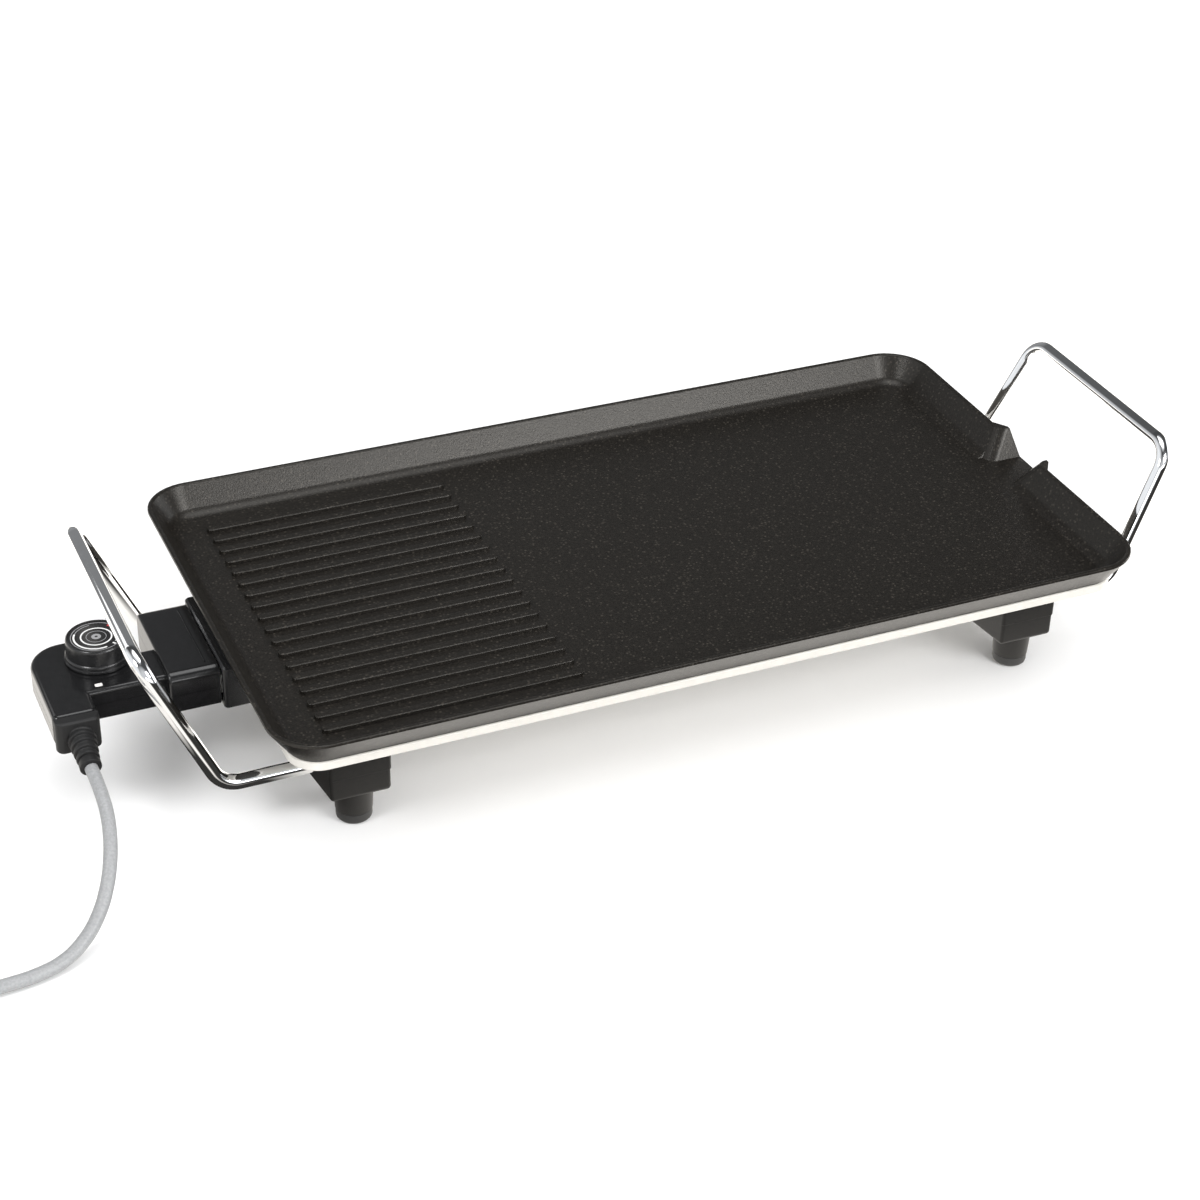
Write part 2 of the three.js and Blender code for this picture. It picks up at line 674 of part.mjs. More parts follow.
function contactBlock() {
  const [x0, x1] = [headX[1] - shellWall - 7, headX[1] + noseLength];
  const nose = roundedBlock(x0, x1, -noseHalfWidth, noseHalfWidth, ...noseZ, 2, 0, 3);
  const inner = block(x0, x0 + 5, -noseHalfWidth - 2, noseHalfWidth + 2, ...noseZ);
  const bores = [bar(probeRadius + restGap, x0 - 1, x1 + 1, 0, terminalHeight, 12)];
  for (const s of Object.values(ends)) {
    bores.push(bar(contactRadius + restGap, x1 - contactLength - 1, x1 + 1, (s * pinSpacing) / 2,
      terminalHeight, 12));
  }
  return piece('contact_block', without(joined([nose, inner]), bores), 'phenolic');
}

function contactSleeve(end, s) {
  const x1 = headX[1] + noseLength;
  const y = (s * pinSpacing) / 2;
  const sleeve = bar(contactRadius, x1 - contactLength, x1 - 1, y, terminalHeight, 12);
  const bore = bar(pinRadius + runningGap, x1 - contactLength + 1.5, x1 + 1, y, terminalHeight, 12);
  return piece(`contact_${end}`, without(sleeve, [bore]), 'brass');
}

function probe() {
  const x0 = headX[1] - shellWall - 14;
  const stem = bar(probeRadius, x0, probeTip - 3, 0, terminalHeight);
  const tip = bar(probeRadius - 1, probeTip - 4, probeTip, 0, terminalHeight);
  return piece('probe', joined([stem, tip]), 'steel');
}

function thermostat() {
  const [x0, x1, y0, y1] = [dialX - 9, dialX + 9, dialY - 9, dialY + 5];
  const base = armZ[0] + shellWall + restGap;
  const top = base + 8.5;
  const frame = without(block(x0, x1, y0, y1, base, top), [
    block(x0 + 1.2, x1 - 1.2, y0 - 1, y1 + 1, base + 1.2, top + 1),
  ]);
  const armPiece = joined([
    block(x0 + 2, x1 - 2, dialY - 3, dialY + 1, base + 1.2 + restGap, base + 2.2),
    block(x0 + 2, x0 + 4, dialY - 3, dialY + 1, base + 1.2 + restGap, base + 4.5),
  ]);
  const strip = block(x1 + 1.5, headX[0] + 12, -12, -7, splitHeight + 0.6, splitHeight + 1.6);
  return [
    piece('thermostat_frame', frame, 'steel'), piece('contact_arm', armPiece, 'brass'),
    piece('bimetal_strip', strip, 'brass'),
  ];
}

function lensBox(grow) {
  const [x, y] = [armX[1] + 5.2, neckY[0] + 4.6];
  return [x - 2.3 - grow, x + 2.3 + grow, y - 1.6 - grow, y + 1.6 + grow, 60 - grow, neckZ[1] + 0.5 + grow];
}

function pilot() {
  const [x0, x1, y0, y1] = lensBox(0);
  const middle = [(x0 + x1) / 2, (y0 + y1) / 2];
  const lamp = at(turned([[0, 51.5], [1.2, 51.6], [2, 52.6], [2, 58.8], [1, 59.6], [0, 59.7]], 14), ...middle);
  return [
    piece('pilot_lens', block(...lensBox(0)), 'clearLens'), piece('pilot_lamp', lamp, 'clearLens'),
  ];
}

function cordExit() {
  const front = armY[0] - restGap;
  const bushing = roundedBlock(
    armX[0], armX[1] - 0.5, front - 6, front, armZ[0] - 1, armZ[1], [3.6, 3.6, 1.8, 1.8], 1.4, 4)
    .subtract(onRelief(cylinder(7.2 + restGap, -20, 30, 12)));
  const length = reliefRoot.distanceTo(reliefEnd) - restGap;
  const profile = [[0, -6], [7.2, -6], [7.2, 5]];
  for (let ring = 0; ring < 4; ring++) {
    const z = 7 + ring * 4;
    const radius = 6.9 - ring * 0.45;
    profile.push([radius - 0.9, z - 1], [radius, z], [radius, z + 1.4], [radius - 0.9, z + 2.2]);
  }
  profile.push([5.2, length - 1.5], [4.6, length], [0, length]);
  const relief = onRelief(turned(profile, 12));
  const clampZ = [armZ[0] + shellWall + restGap, armZ[0] + shellWall + 5];
  const clamp = block(armX[0] + 5, armX[1] - 5, -31, -25, ...clampZ);
  const holeX = armX[1] - 9;
  const clampHole = at(cylinder(1.5 + restGap, 40, 70, 12), holeX, -28);
  const holder = screw(2.4, 1.5, 0, 1.6, clampZ[1] - clampZ[0] + 1.3).rotate([180, 0, 0]);
  const clampScrew = at(holder, holeX, -28, clampZ[1] + restGap + 1.6);
  return [
    piece('cord_bushing', bushing, 'mattBlack'), piece('strain_relief', relief, 'mattBlack'),
    piece('cord_clamp', clamp.subtract(clampHole), 'phenolic'), piece('cord_clamp_screw', clampScrew, 'steel'),
  ];
}

// ---------- dial ----------
function dial() {
  const cap = dialTop - 1.1;
  const knob = turned([
    [spindleRadius + restGap, dialBase + 1], [spindleRadius + 2.2, dialBase + 1],
    [spindleRadius + 2.2, cap - 2], [dialRadius - 1.8, cap - 2], [dialRadius - 1.8, dialBase],
    [dialSkirtRadius, dialBase], [dialSkirtRadius, dialBase + 1.4], [dialRadius + 0.2, dialBase + 1.8],
    [dialSkirtRadius - 0.3, dialBase + 2.4], [dialSkirtRadius - 0.3, dialBase + 3.6],
    [dialRadius, dialBase + 4], [dialRadius - 0.2, dialTop - 0.8], [dialRadius - 0.9, dialTop],
    [dialDiscRadius + restGap, dialTop], [dialDiscRadius + restGap, cap], [0, cap], [0, cap - 0.9],
    [spindleRadius + restGap, cap - 0.9], [spindleRadius + restGap, dialBase + 1],
  ], 28);
  const disc = cylinder(dialDiscRadius, cap + restGap, dialTop - 0.2, 28);
  const spindle = turned([
    [0, armZ[0] + 7], [spindleRadius, armZ[0] + 7], [spindleRadius, cap - 0.9 - restGap],
    [0, cap - 0.9 - restGap],
  ], 12);
  return [
    piece('dial_knob', at(knob, dialX, dialY), 'glossBlack'), piece('dial_disc', at(disc, dialX, dialY), 'print'),
    piece('dial_spindle', at(spindle, dialX, dialY), 'steel'),
  ];
}

// ---------- cord and plug ----------
function routePath(points) {
  return new THREE.CatmullRomCurve3(points.map((p) => new THREE.Vector3(...p)), false, 'centripetal');
}

function coil() {
  const halfWidth = coilColumns * cordRadius;
  const top = coilLift + 2 * cordRadius * (1 + (coilLayers - 1) * 0.87);
  const [inner, outer] = [coilRadius - halfWidth, coilRadius + halfWidth];
  const ring = turned([
    [inner, coilLift], [outer - 1, coilLift], [outer, coilLift + 1], [outer, top - 2], [outer - 2, top],
    [inner + 2, top], [inner, top - 2], [inner, coilLift],
  ], 32);
  return { ring, inner, outer, top };
}

function cordTie({ inner, outer, top }) {
  const half = tieWidth / 2;
  const insideInner = Math.sqrt(inner * inner - half * half) - restGap;
  const [x0, x1] = [insideInner, outer + restGap];
  const band = block(x0 - tieBand, x1 + tieBand, -half, half, 0.05, top + restGap + tieBand);
  const space = block(x0, x1, -half - 1, half + 1, coilLift - restGap, top + restGap);
  return band.subtract(space).rotate([0, 0, tieAngle]);
}

function cord() {
  const shape = coil();
  const [x, y] = coilCentre;
  const lead = rod(routePath(leadRoute), cordRadius, 14, 9);
  const tail = rod(routePath(tailRoute), cordRadius, 5, 9);
  return [
    piece('cord_lead', lead, 'cordGrey'), piece('cord_coil', at(shape.ring, x, y), 'cordGrey'),
    piece('cord_tie', at(cordTie(shape), x, y), 'mattBlack'), piece('cord_tail', tail, 'cordGrey'),
  ];
}

function plug() {
  const start = plugExit.y + restGap;
  const boot = turned([[0, 0], [4.6, 0], [6.6, plugBoot], [6.6, plugBoot + 4], [0, plugBoot + 4]], 12)
    .rotate([-90, 0, 0]);
  const bodyStart = start + plugBoot;
  const half = plugWidth / 2;
  const shell = roundedBlock(
    plugExit.x - half, plugExit.x + half, bodyStart, bodyStart + plugLength, 0.05, plugThickness,
    plugRadius, 2);
  const earthY = bodyStart + 33;
  const rowY = earthY - pinRowGap;
  const pins = [
    ['plug_earth_pin', plugExit.x, earthY, 2, 4, 22.7],
    ['plug_left_pin', plugExit.x - pinSideSpread, rowY, 3.15, 2, 17.7],
    ['plug_right_pin', plugExit.x + pinSideSpread, rowY, 3.15, 2, 17.7],
  ];
  const seat = plugThickness - 4;
  const pockets = pins.map(([, x, y, halfX, halfY]) => block(
    x - halfX - restGap, x + halfX + restGap, y - halfY - restGap, y + halfY + restGap,
    seat, plugThickness + 1));
  const fuseX = [plugExit.x - 6, plugExit.x + 6];
  const fuseY = [rowY + 5, rowY + 13];
  pockets.push(block(fuseX[0] - restGap, fuseX[1] + restGap, fuseY[0] - restGap, fuseY[1] + restGap,
    seat, plugThickness + 1));
  const body = without(joined([at(boot, plugExit.x, start, plugExit.z), shell]), pockets);
  const parts = [piece('plug_body', body, 'mattBlack')];
  for (const [name, x, y, halfX, halfY, reach] of pins) {
    const top = plugThickness + reach;
    const blade = block(x - halfX, x + halfX, y - halfY, y + halfY, seat + restGap, top);
    parts.push(piece(name, blade, 'brass'));
  }
  const carrier = block(...fuseX, ...fuseY, seat + restGap, plugThickness + 0.4);
  parts.push(piece('plug_fuse_carrier', carrier, 'mattBlack'));
  return parts;
}

// ---------- assembly ----------
const griddle = new THREE.Group();
griddle.add(griddlePlate(), basePan(), heatingElement(), probeWell(), socketGuard());
for (const place of footPlaces()) griddle.add(footBlock(place), footPad(place), footScrew(place));
for (const [side, sx] of Object.entries(sides)) griddle.add(handle(side, sx));
for (const [side, x] of Object.entries(clampPlaces)) griddle.add(...elementClamp(side, x));
for (const [end, sy] of Object.entries(ends)) griddle.add(...terminal(end, sy), guardScrew(end, sy));

const controller = new THREE.Group();
controller.add(...controllerShells(), ...shellScrews.map(shellScrewPiece), contactBlock(), probe());
for (const [end, sy] of Object.entries(ends)) controller.add(contactSleeve(end, sy));
controller.add(...thermostat(), ...pilot(), ...cordExit(), ...dial(), ...cord(), ...plug());

const group = new THREE.Group();
group.add(griddle, controller);
group.position.copy(originShift);
export default group;
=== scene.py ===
import json
import math

import bpy
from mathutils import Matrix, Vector


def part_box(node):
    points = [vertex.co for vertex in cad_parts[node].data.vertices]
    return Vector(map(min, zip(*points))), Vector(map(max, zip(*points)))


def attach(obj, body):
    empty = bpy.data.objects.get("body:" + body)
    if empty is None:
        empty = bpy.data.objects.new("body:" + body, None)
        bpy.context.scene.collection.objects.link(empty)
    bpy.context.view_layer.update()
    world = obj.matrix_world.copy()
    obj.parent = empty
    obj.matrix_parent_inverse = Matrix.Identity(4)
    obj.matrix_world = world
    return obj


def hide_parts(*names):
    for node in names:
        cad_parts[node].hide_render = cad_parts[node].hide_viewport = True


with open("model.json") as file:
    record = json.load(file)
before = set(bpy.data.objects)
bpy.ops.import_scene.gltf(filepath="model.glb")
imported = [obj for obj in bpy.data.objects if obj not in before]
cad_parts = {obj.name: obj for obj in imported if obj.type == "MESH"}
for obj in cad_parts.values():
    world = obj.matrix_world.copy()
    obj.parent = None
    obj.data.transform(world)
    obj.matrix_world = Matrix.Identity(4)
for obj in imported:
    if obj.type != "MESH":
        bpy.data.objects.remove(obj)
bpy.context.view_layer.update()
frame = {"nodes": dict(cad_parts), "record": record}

# ---------- camera ----------
# Looks down over the long front side from the controller's end, with a long lens.
bpy.ops.object.select_all(action="DESELECT")
bpy.ops.object.camera_add(
    location=(-0.4783, -1.0642, 0.784),
    rotation=[math.radians(turn) for turn in (57.343, -1.16, -23.299)])
camera = bpy.context.object
camera.data.lens = 76.2
camera.data.sensor_width = 36
bpy.context.scene.camera = camera
bpy.context.scene.view_settings.view_transform = "Standard"

# ---------- mains cord ----------
# A grey rubber-sheathed round cord, 6.8 mm thick. It leaves the ribbed sleeve at the front of the
# controller, drops to the table, and its spare length is wound into a flat coil beside the griddle.
cord_thickness = 0.0068
cord_exit = (-0.2996, -0.067, 0.0506)
lead_points = [
    cord_exit, (-0.2993, -0.075, 0.049), (-0.2991, -0.084, 0.0466), (-0.2993, -0.093, 0.043),
    (-0.3007, -0.103, 0.0376), (-0.3036, -0.113, 0.0304), (-0.3085, -0.123, 0.022),
    (-0.3155, -0.132, 0.014), (-0.3247, -0.14, 0.008), (-0.3357, -0.1464, 0.0046),
    (-0.3482, -0.1504, 0.0037), (-0.3622, -0.1526, 0.004), (-0.3752, -0.1533, 0.0044),
    (-0.3872, -0.1533, 0.0044),
]
tail_points = [
    (-0.4625, -0.08, 0.0107), (-0.4625, -0.072, 0.0096), (-0.4625, -0.064, 0.0086),
    (-0.4625, -0.056, 0.0083), (-0.4625, -0.048, 0.0087), (-0.4625, -0.04, 0.0091),
    (-0.4625, -0.034, 0.0092),
]
coil_middle = (-0.4172, -0.108)
outer_turn = 0.0453
lower_turn_height = 0.0044
turns = 4.25
steps_in_a_turn = 16
# each row is the turn where a change starts, where it ends, and how many cord widths it moves
radius_changes = [(0.7, 1.0, -1), (1.7, 2.0, -1), (2.8, 3.15, 1), (3.8, 4.15, 1)]
height_changes = [(2.1, 2.8, 1)]


def eased(turn, changes):
    total = 0
    for start, end, widths in changes:
        done = min(max((turn - start) / (end - start), 0), 1)
        total += widths * cord_thickness * done * done * (3 - 2 * done)
    return total


coil_points = []
for step in range(int(turns * steps_in_a_turn) + 1):
    turn = step / steps_in_a_turn
    radius = outer_turn + eased(turn, radius_changes)
    angle = -math.pi / 2 - 2 * math.pi * turn
    coil_points.append((
        coil_middle[0] + radius * math.cos(angle), coil_middle[1] + radius * math.sin(angle),
        lower_turn_height + eased(turn, height_changes)))


def grained(name, colour, roughness, grain, relief, metallic=0.0, depth=0.25, coat=0.0):
    """A finish whose colour and surface vary in grains that are grain metres wide."""
    material = bpy.data.materials.new(name)
    material.use_nodes = True
    nodes, links = material.node_tree.nodes, material.node_tree.links
    shader = nodes["Principled BSDF"]
    shader.inputs["Metallic"].default_value = metallic
    shader.inputs["Coat Weight"].default_value = coat
    shader.inputs["Coat Roughness"].default_value = 0.08
    place = nodes.new("ShaderNodeTexCoord")
    fine = nodes.new("ShaderNodeTexNoise")
    fine.inputs["Scale"].default_value = 1 / grain
    fine.inputs["Detail"].default_value = 3
    links.new(place.outputs["Object"], fine.inputs["Vector"])
    shade = nodes.new("ShaderNodeValToRGB")
    shade.color_ramp.elements[0].position = 0.3
    shade.color_ramp.elements[1].position = 0.7
    shade.color_ramp.elements[0].color = [c * (1 - depth) for c in colour] + [1]
    shade.color_ramp.elements[1].color = [min(c * (1 + depth), 1) for c in colour] + [1]
    links.new(fine.outputs["Fac"], shade.inputs["Fac"])
    links.new(shade.outputs["Color"], shader.inputs["Base Color"])
    sheen = nodes.new("ShaderNodeMapRange")
    sheen.inputs["To Min"].default_value = roughness * 0.88
    sheen.inputs["To Max"].default_value = min(roughness * 1.12, 1)
    links.new(fine.outputs["Fac"], sheen.inputs["Value"])
    links.new(sheen.outputs["Result"], shader.inputs["Roughness"])
    bump = nodes.new("ShaderNodeBump")
    bump.inputs["Distance"].default_value = relief
    bump.inputs["Strength"].default_value = 0.6
    links.new(fine.outputs["Fac"], bump.inputs["Height"])
    links.new(bump.outputs["Normal"], shader.inputs["Normal"])
    return material


def smooth_line(name, points, thickness, sides, handles="AUTO", steps=6):
    """A round rod or cord on one curve through the points, with its ends closed."""
    bpy.ops.object.select_all(action="DESELECT")
    bpy.ops.curve.primitive_bezier_curve_add(location=(0, 0, 0))
    line = bpy.context.object
    line.name = name
    spline = line.data.splines[0]
    spline.bezier_points.add(len(points) - 2)
    for knot, point in zip(spline.bezier_points, points):
        knot.co = point
        knot.handle_left_type = knot.handle_right_type = handles
    line.data.dimensions = "3D"
    line.data.resolution_u = steps
    line.data.bevel_depth = thickness / 2
    line.data.bevel_resolution = sides
    line.data.use_fill_caps = True
    return line


cord_sheath = grained("cord_sheath_rubber", (0.27, 0.275, 0.28), 0.42, 0.0012, 0.00003, depth=0.12)
power_cord = smooth_line("power_cord", lead_points + coil_points + tail_points, cord_thickness, 5)
power_cord.data.materials.append(cord_sheath)
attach(power_cord, "controller")
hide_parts("cord_lead", "cord_coil", "cord_tail")


# ---------- moulded plug ----------
# A flat three-pin mains plug of matt black plastic on the far end of the cord, lying on its back with
# its pins up. The two live pins have black sleeves on their lower halves.
def pick_piece(piece):
    """Makes one piece the selected and active one."""
    bpy.ops.object.select_all(action="DESELECT")
    bpy.context.view_layer.objects.active = piece
    piece.select_set(True)


def start_block(name, low, high):
    """A box between two corners, in edit mode with nothing selected."""
    bpy.ops.object.select_all(action="DESELECT")
    middle = [(a + b) / 2 for a, b in zip(low, high)]
    bpy.ops.mesh.primitive_cube_add(
        size=1, location=middle, scale=[b - a for a, b in zip(low, high)])
    block = bpy.context.object
    block.name = name
    bpy.ops.object.transform_apply(location=True, rotation=True, scale=True)
    bpy.ops.object.mode_set(mode="EDIT")
    bpy.ops.mesh.select_all(action="DESELECT")
    return block


def pick_edges(piece, wanted):
    """Selects the edges whose two ends pass the test together."""
    bpy.ops.mesh.select_mode(type="EDGE")
    bpy.ops.mesh.select_all(action="DESELECT")
    bpy.ops.object.mode_set(mode="OBJECT")
    points = piece.data.vertices
    for edge in piece.data.edges:
        edge.select = wanted(points[edge.vertices[0]].co, points[edge.vertices[1]].co)
    bpy.ops.object.mode_set(mode="EDIT")


def pick_faces(piece, wanted):
    """Selects the faces whose middle and normal pass the test."""
    bpy.ops.mesh.select_mode(type="FACE")
    bpy.ops.mesh.select_all(action="DESELECT")
    bpy.ops.object.mode_set(mode="OBJECT")
    for face in piece.data.polygons:
        face.select = wanted(face.center, face.normal)
    bpy.ops.object.mode_set(mode="EDIT")


def upright(a, b):
    """Tells whether an edge stands straight up."""
    return abs(a.x - b.x) + abs(a.y - b.y) < 1e-6


def round_edges(piece, wanted, width, segments):
    """Rounds the picked edges of a piece in edit mode."""
    pick_edges(piece, wanted)
    bpy.ops.mesh.bevel(offset=width, offset_type="OFFSET", segments=segments, affect="EDGES")


def rounded_block(name, low, high, corner, edge, segments=6):
    """A box with its upright corners rounded by corner, and its top and bottom edges by edge."""
    block = start_block(name, low, high)
    round_edges(block, upright, corner, segments)
    if edge:
        round_edges(block, lambda a, b: abs(a.z - b.z) < 1e-6 and (
            abs(a.z - low[2]) < 1e-6 or abs(a.z - high[2]) < 1e-6), edge, max(segments // 2, 2))
    bpy.ops.object.mode_set(mode="OBJECT")
    return block


def combine(piece, other, operation):
    """Joins another solid to the piece, or cuts it out, and removes the other."""
    pick_piece(piece)
    change = piece.modifiers.new("combine", "BOOLEAN")
    change.operation = operation
    change.solver = "MANIFOLD"
    change.object = other
    bpy.ops.object.modifier_apply(modifier=change.name)
    bpy.data.objects.remove(other, do_unlink=True)
    return piece


def soften(piece, width, segments=2, angle=32):
    """Rounds every edge that turns more than the angle."""
    pick_piece(piece)
    change = piece.modifiers.new("soften", "BEVEL")
    change.width = width
    change.segments = segments
    change.limit_method = "ANGLE"
    change.angle_limit = math.radians(angle)
    change.use_clamp_overlap = True
    bpy.ops.object.modifier_apply(modifier=change.name)


def turned(name, profile, middle=(0, 0), sides=48):
    """A solid of revolution on an upright axis: rows of radius and height, from its bottom up."""
    bpy.ops.object.select_all(action="DESELECT")
    radius, height = profile[0]
    bpy.ops.mesh.primitive_circle_add(
        vertices=sides, radius=radius, fill_type="NGON", location=(middle[0], middle[1], height))
    piece = bpy.context.object
    piece.name = name
    bpy.ops.object.transform_apply(location=True, rotation=True, scale=True)
    bpy.ops.object.mode_set(mode="EDIT")
    bpy.ops.mesh.select_all(action="SELECT")
    for (last_radius, last_height), (radius, height) in zip(profile, profile[1:]):
        bpy.ops.mesh.extrude_region_move(
            TRANSFORM_OT_translate={"value": (0, 0, height - last_height)})
        bpy.ops.transform.resize(value=(radius / last_radius, radius / last_radius, 1))
    bpy.ops.mesh.select_all(action="SELECT")
    bpy.ops.mesh.normals_make_consistent(inside=False)
    bpy.ops.object.mode_set(mode="OBJECT")
    return piece


def lay_along(piece, foot, direction):
    """Tips an upright piece over to the direction and moves its foot into place."""
    pick_piece(piece)
    piece.rotation_euler = Vector((0, 0, 1)).rotation_difference(Vector(direction)).to_euler()
    piece.location = foot
    bpy.ops.object.transform_apply(location=True, rotation=True, scale=True)


def fit_piece(piece, material, body, nodes=(), smooth=35):
    """Gives a finished piece its material and shading, and fixes it to its body."""
    pick_piece(piece)
    bpy.ops.object.mode_set(mode="EDIT")
    bpy.ops.mesh.select_all(action="SELECT")
    bpy.ops.mesh.remove_doubles(threshold=1e-6)
    bpy.ops.mesh.normals_make_consistent(inside=False)
    bpy.ops.object.mode_set(mode="OBJECT")
    bpy.ops.object.shade_smooth_by_angle(angle=math.radians(smooth))
    flats = piece.modifiers.new("flats", "WEIGHTED_NORMAL")
    flats.keep_sharp = True
    bpy.ops.object.modifier_apply(modifier=flats.name)
    piece.data.materials.clear()
    piece.data.materials.append(material)
    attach(piece, body)
    if nodes:
        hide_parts(*nodes)
    return piece


plug_plastic = grained("plug_matt_plastic", (0.022, 0.022, 0.023), 0.48, 0.0006, 0.00004)
plug_low, plug_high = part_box("plug_body")
boot_length = 0.014
plug_top = 0.017
plug_shell = rounded_block(
    "plug_shell", (plug_low.x, plug_low.y + boot_length, 0.0002), (plug_high.x, plug_high.y, plug_top),
    0.009, 0.0022, 10)
grip_rows = 4
for side_x in (plug_low.x - 0.0012, plug_high.x + 0.0012):
    for row in range(grip_rows):
        grip_y = plug_high.y - 0.012 - row * 0.0045
        slot_cut = rounded_block(
            "grip_cut", (side_x - 0.002, grip_y - 0.0009, 0.004), (side_x + 0.002, grip_y + 0.0009, 0.0135),
            0.0006, 0, 3)
        combine(plug_shell, slot_cut, "DIFFERENCE")
fit_piece(plug_shell, plug_plastic, "controller", ["plug_body"])

boot_rings = [(0.0047, 0), (0.0052, 0.001), (0.0052, 0.0024), (0.0047, 0.003), (0.0049, 0.0044),
              (0.0056, 0.005), (0.0056, 0.0066), (0.005, 0.0072), (0.0052, 0.0086), (0.006, 0.0092),
              (0.006, 0.0108), (0.0055, 0.0114), (0.0058, 0.0128), (0.0066, 0.0134), (0.0066, 0.016)]
plug_boot = turned("plug_boot", boot_rings, sides=40)
lay_along(plug_boot, ((plug_low.x + plug_high.x) / 2, plug_low.y, tail_points[-1][2]), (0, 1, 0))
fit_piece(plug_boot, plug_plastic, "controller")

pin_brass = grained("pin_brass", (0.72, 0.55, 0.28), 0.28, 0.0009, 0.00002, metallic=1.0, depth=0.08)
sleeve_top, sleeve_wall = 0.0265, 0.0001
for pin in ("plug_earth_pin", "plug_left_pin", "plug_right_pin"):
    low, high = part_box(pin)
    blade = rounded_block(pin.replace("plug", "plug_brass"), low, high, 0.0003, 0.0006, 4)
    fit_piece(blade, pin_brass, "controller", [pin])
    if pin != "plug_earth_pin":
        sleeve = rounded_block(
            pin.replace("plug", "plug_sleeved"),
            (low.x - sleeve_wall, low.y - sleeve_wall, plug_top - 0.0005),
            (high.x + sleeve_wall, high.y + sleeve_wall, sleeve_top), 0.0003, 0.0001, 4)
        fit_piece(sleeve, plug_plastic, "controller")
low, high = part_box("plug_fuse_carrier")
fuse_lid = rounded_block("plug_fuse_lid", low, high, 0.0006, 0.0003, 4)
notch = rounded_block(
    "notch", (low.x + 0.0045, low.y + 0.0008, high.z - 0.0007),
    (high.x - 0.0045, low.y + 0.0018, high.z + 0.001), 0.0003, 0, 3)
combine(fuse_lid, notch, "DIFFERENCE")
fit_piece(fuse_lid, plug_plastic, "controller", ["plug_fuse_carrier"])

# ---------- cord tie ----------
# A flat black strap that is closed round the coil and holds its turns together.
strap_inner, strap_outer = 0.0269, 0.0502
strap_bottom, strap_top = 0.0002, 0.0161
strap = rounded_block(
    "coil_strap", (strap_inner, -0.005, strap_bottom), (strap_outer, 0.005, strap_top), 0.0006, 0.0012, 4)
strap_hole = rounded_block(
    "hole", (strap_inner + 0.0012, -0.006, strap_bottom + 0.00065),
    (strap_outer - 0.0012, 0.006, strap_top - 0.0012), 0.0003, 0.0002, 3)
combine(strap, strap_hole, "DIFFERENCE")
bpy.ops.object.mode_set(mode="EDIT")
bpy.ops.mesh.select_all(action="SELECT")
bpy.ops.transform.rotate(value=-math.radians(50), orient_axis="Z", center_override=(0, 0, 0))
bpy.ops.transform.translate(value=(coil_middle[0], coil_middle[1], 0))
bpy.ops.object.mode_set(mode="OBJECT")
fit_piece(strap, plug_plastic, "controller", ["cord_tie"])

# ---------- griddle plate ----------
# A shallow die-cast tray with leaning walls and a rounded rim, black non-stick all over. Ribs run across
# its left part, and the right wall opens into a pouring spout.
tray_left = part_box("griddle_plate")[0].x
tray_right = tray_left + 0.48
tray_middle = (tray_left + tray_right) / 2
tray_half = 0.132
rim_top = 0.081
floor_top = 0.066


def level(height):
    """A test for edges that lie flat at one height."""
    return lambda a, b: abs(a.z - height) < 1e-5 and abs(b.z - height) < 1e-5


plate = start_block(
    "plate_casting", (tray_left, -tray_half, rim_top - 0.0016), (tray_right, tray_half, rim_top))
round_edges(plate, upright, 0.026, 14)
# the inside is pressed down through the rim, and the underside follows it
pick_faces(plate, lambda middle, normal: normal.z > 0.9)
bpy.ops.mesh.inset(thickness=0.0024, depth=0)
bpy.ops.mesh.inset(thickness=0.01, depth=floor_top - rim_top)
pick_faces(plate, lambda middle, normal: normal.z < -0.9)
bpy.ops.mesh.inset(thickness=0.0098, depth=0.0144)
bpy.ops.mesh.inset(thickness=0.0022, depth=0)
bpy.ops.mesh.inset(thickness=0.0005, depth=0.003)
round_edges(plate, level(floor_top), 0.0045, 6)
bpy.ops.object.mode_set(mode="OBJECT")
soften(plate, 0.0007, 2, 38)

# the spout starts as a block on the outside of the wall and narrows towards its lip
spout_half, lip_reach, spout_bottom = 0.031, 0.009, 0.064
spout = start_block(
    "spout", (tray_right - 0.001, -spout_half, spout_bottom), (tray_right + lip_reach, spout_half, rim_top))
pick_faces(spout, lambda middle, normal: normal.x > 0.9)
bpy.ops.transform.resize(value=(1, 0.44, 1))
pick_edges(spout, lambda a, b: min(a.x, b.x) > tray_right and level(rim_top)(a, b))
bpy.ops.transform.resize(value=(1, 1.63, 1))
bpy.ops.transform.translate(value=(-0.004, 0, 0))
pick_edges(spout, lambda a, b: max(a.x, b.x) < tray_right and level(spout_bottom)(a, b))
bpy.ops.transform.resize(value=(1, 0.57, 1))
bpy.ops.transform.translate(value=(-0.011, 0, 0))
bpy.ops.object.mode_set(mode="OBJECT")
combine(plate, spout, "UNION")

# the channel through the wall widens upwards, and the wall's ends beside it are rounded posts
wall_foot = tray_right - 0.0124
channel_half, corner, cut_height = 0.0115, 0.0065, 0.03
lean_out, lean_aside = 0.02, 0.017
channel = start_block(
    "channel", (wall_foot - 0.01, -channel_half, floor_top),
    (tray_right + 0.03, channel_half, floor_top + cut_height))
pick_faces(channel, lambda middle, normal: normal.z > 0.9)
bpy.ops.transform.resize(value=(1, (channel_half + lean_aside) / channel_half, 1))
bpy.ops.object.mode_set(mode="OBJECT")
mouth = start_block(
    "mouth", (wall_foot - 0.01, -channel_half - corner, floor_top),
    (wall_foot + corner, channel_half + corner, floor_top + cut_height))
pick_faces(mouth, lambda middle, normal: normal.z > 0.9)
bpy.ops.transform.resize(value=(1, (channel_half + corner + lean_aside) / (channel_half + corner), 1))
bpy.ops.transform.translate(value=(lean_out, 0, 0))
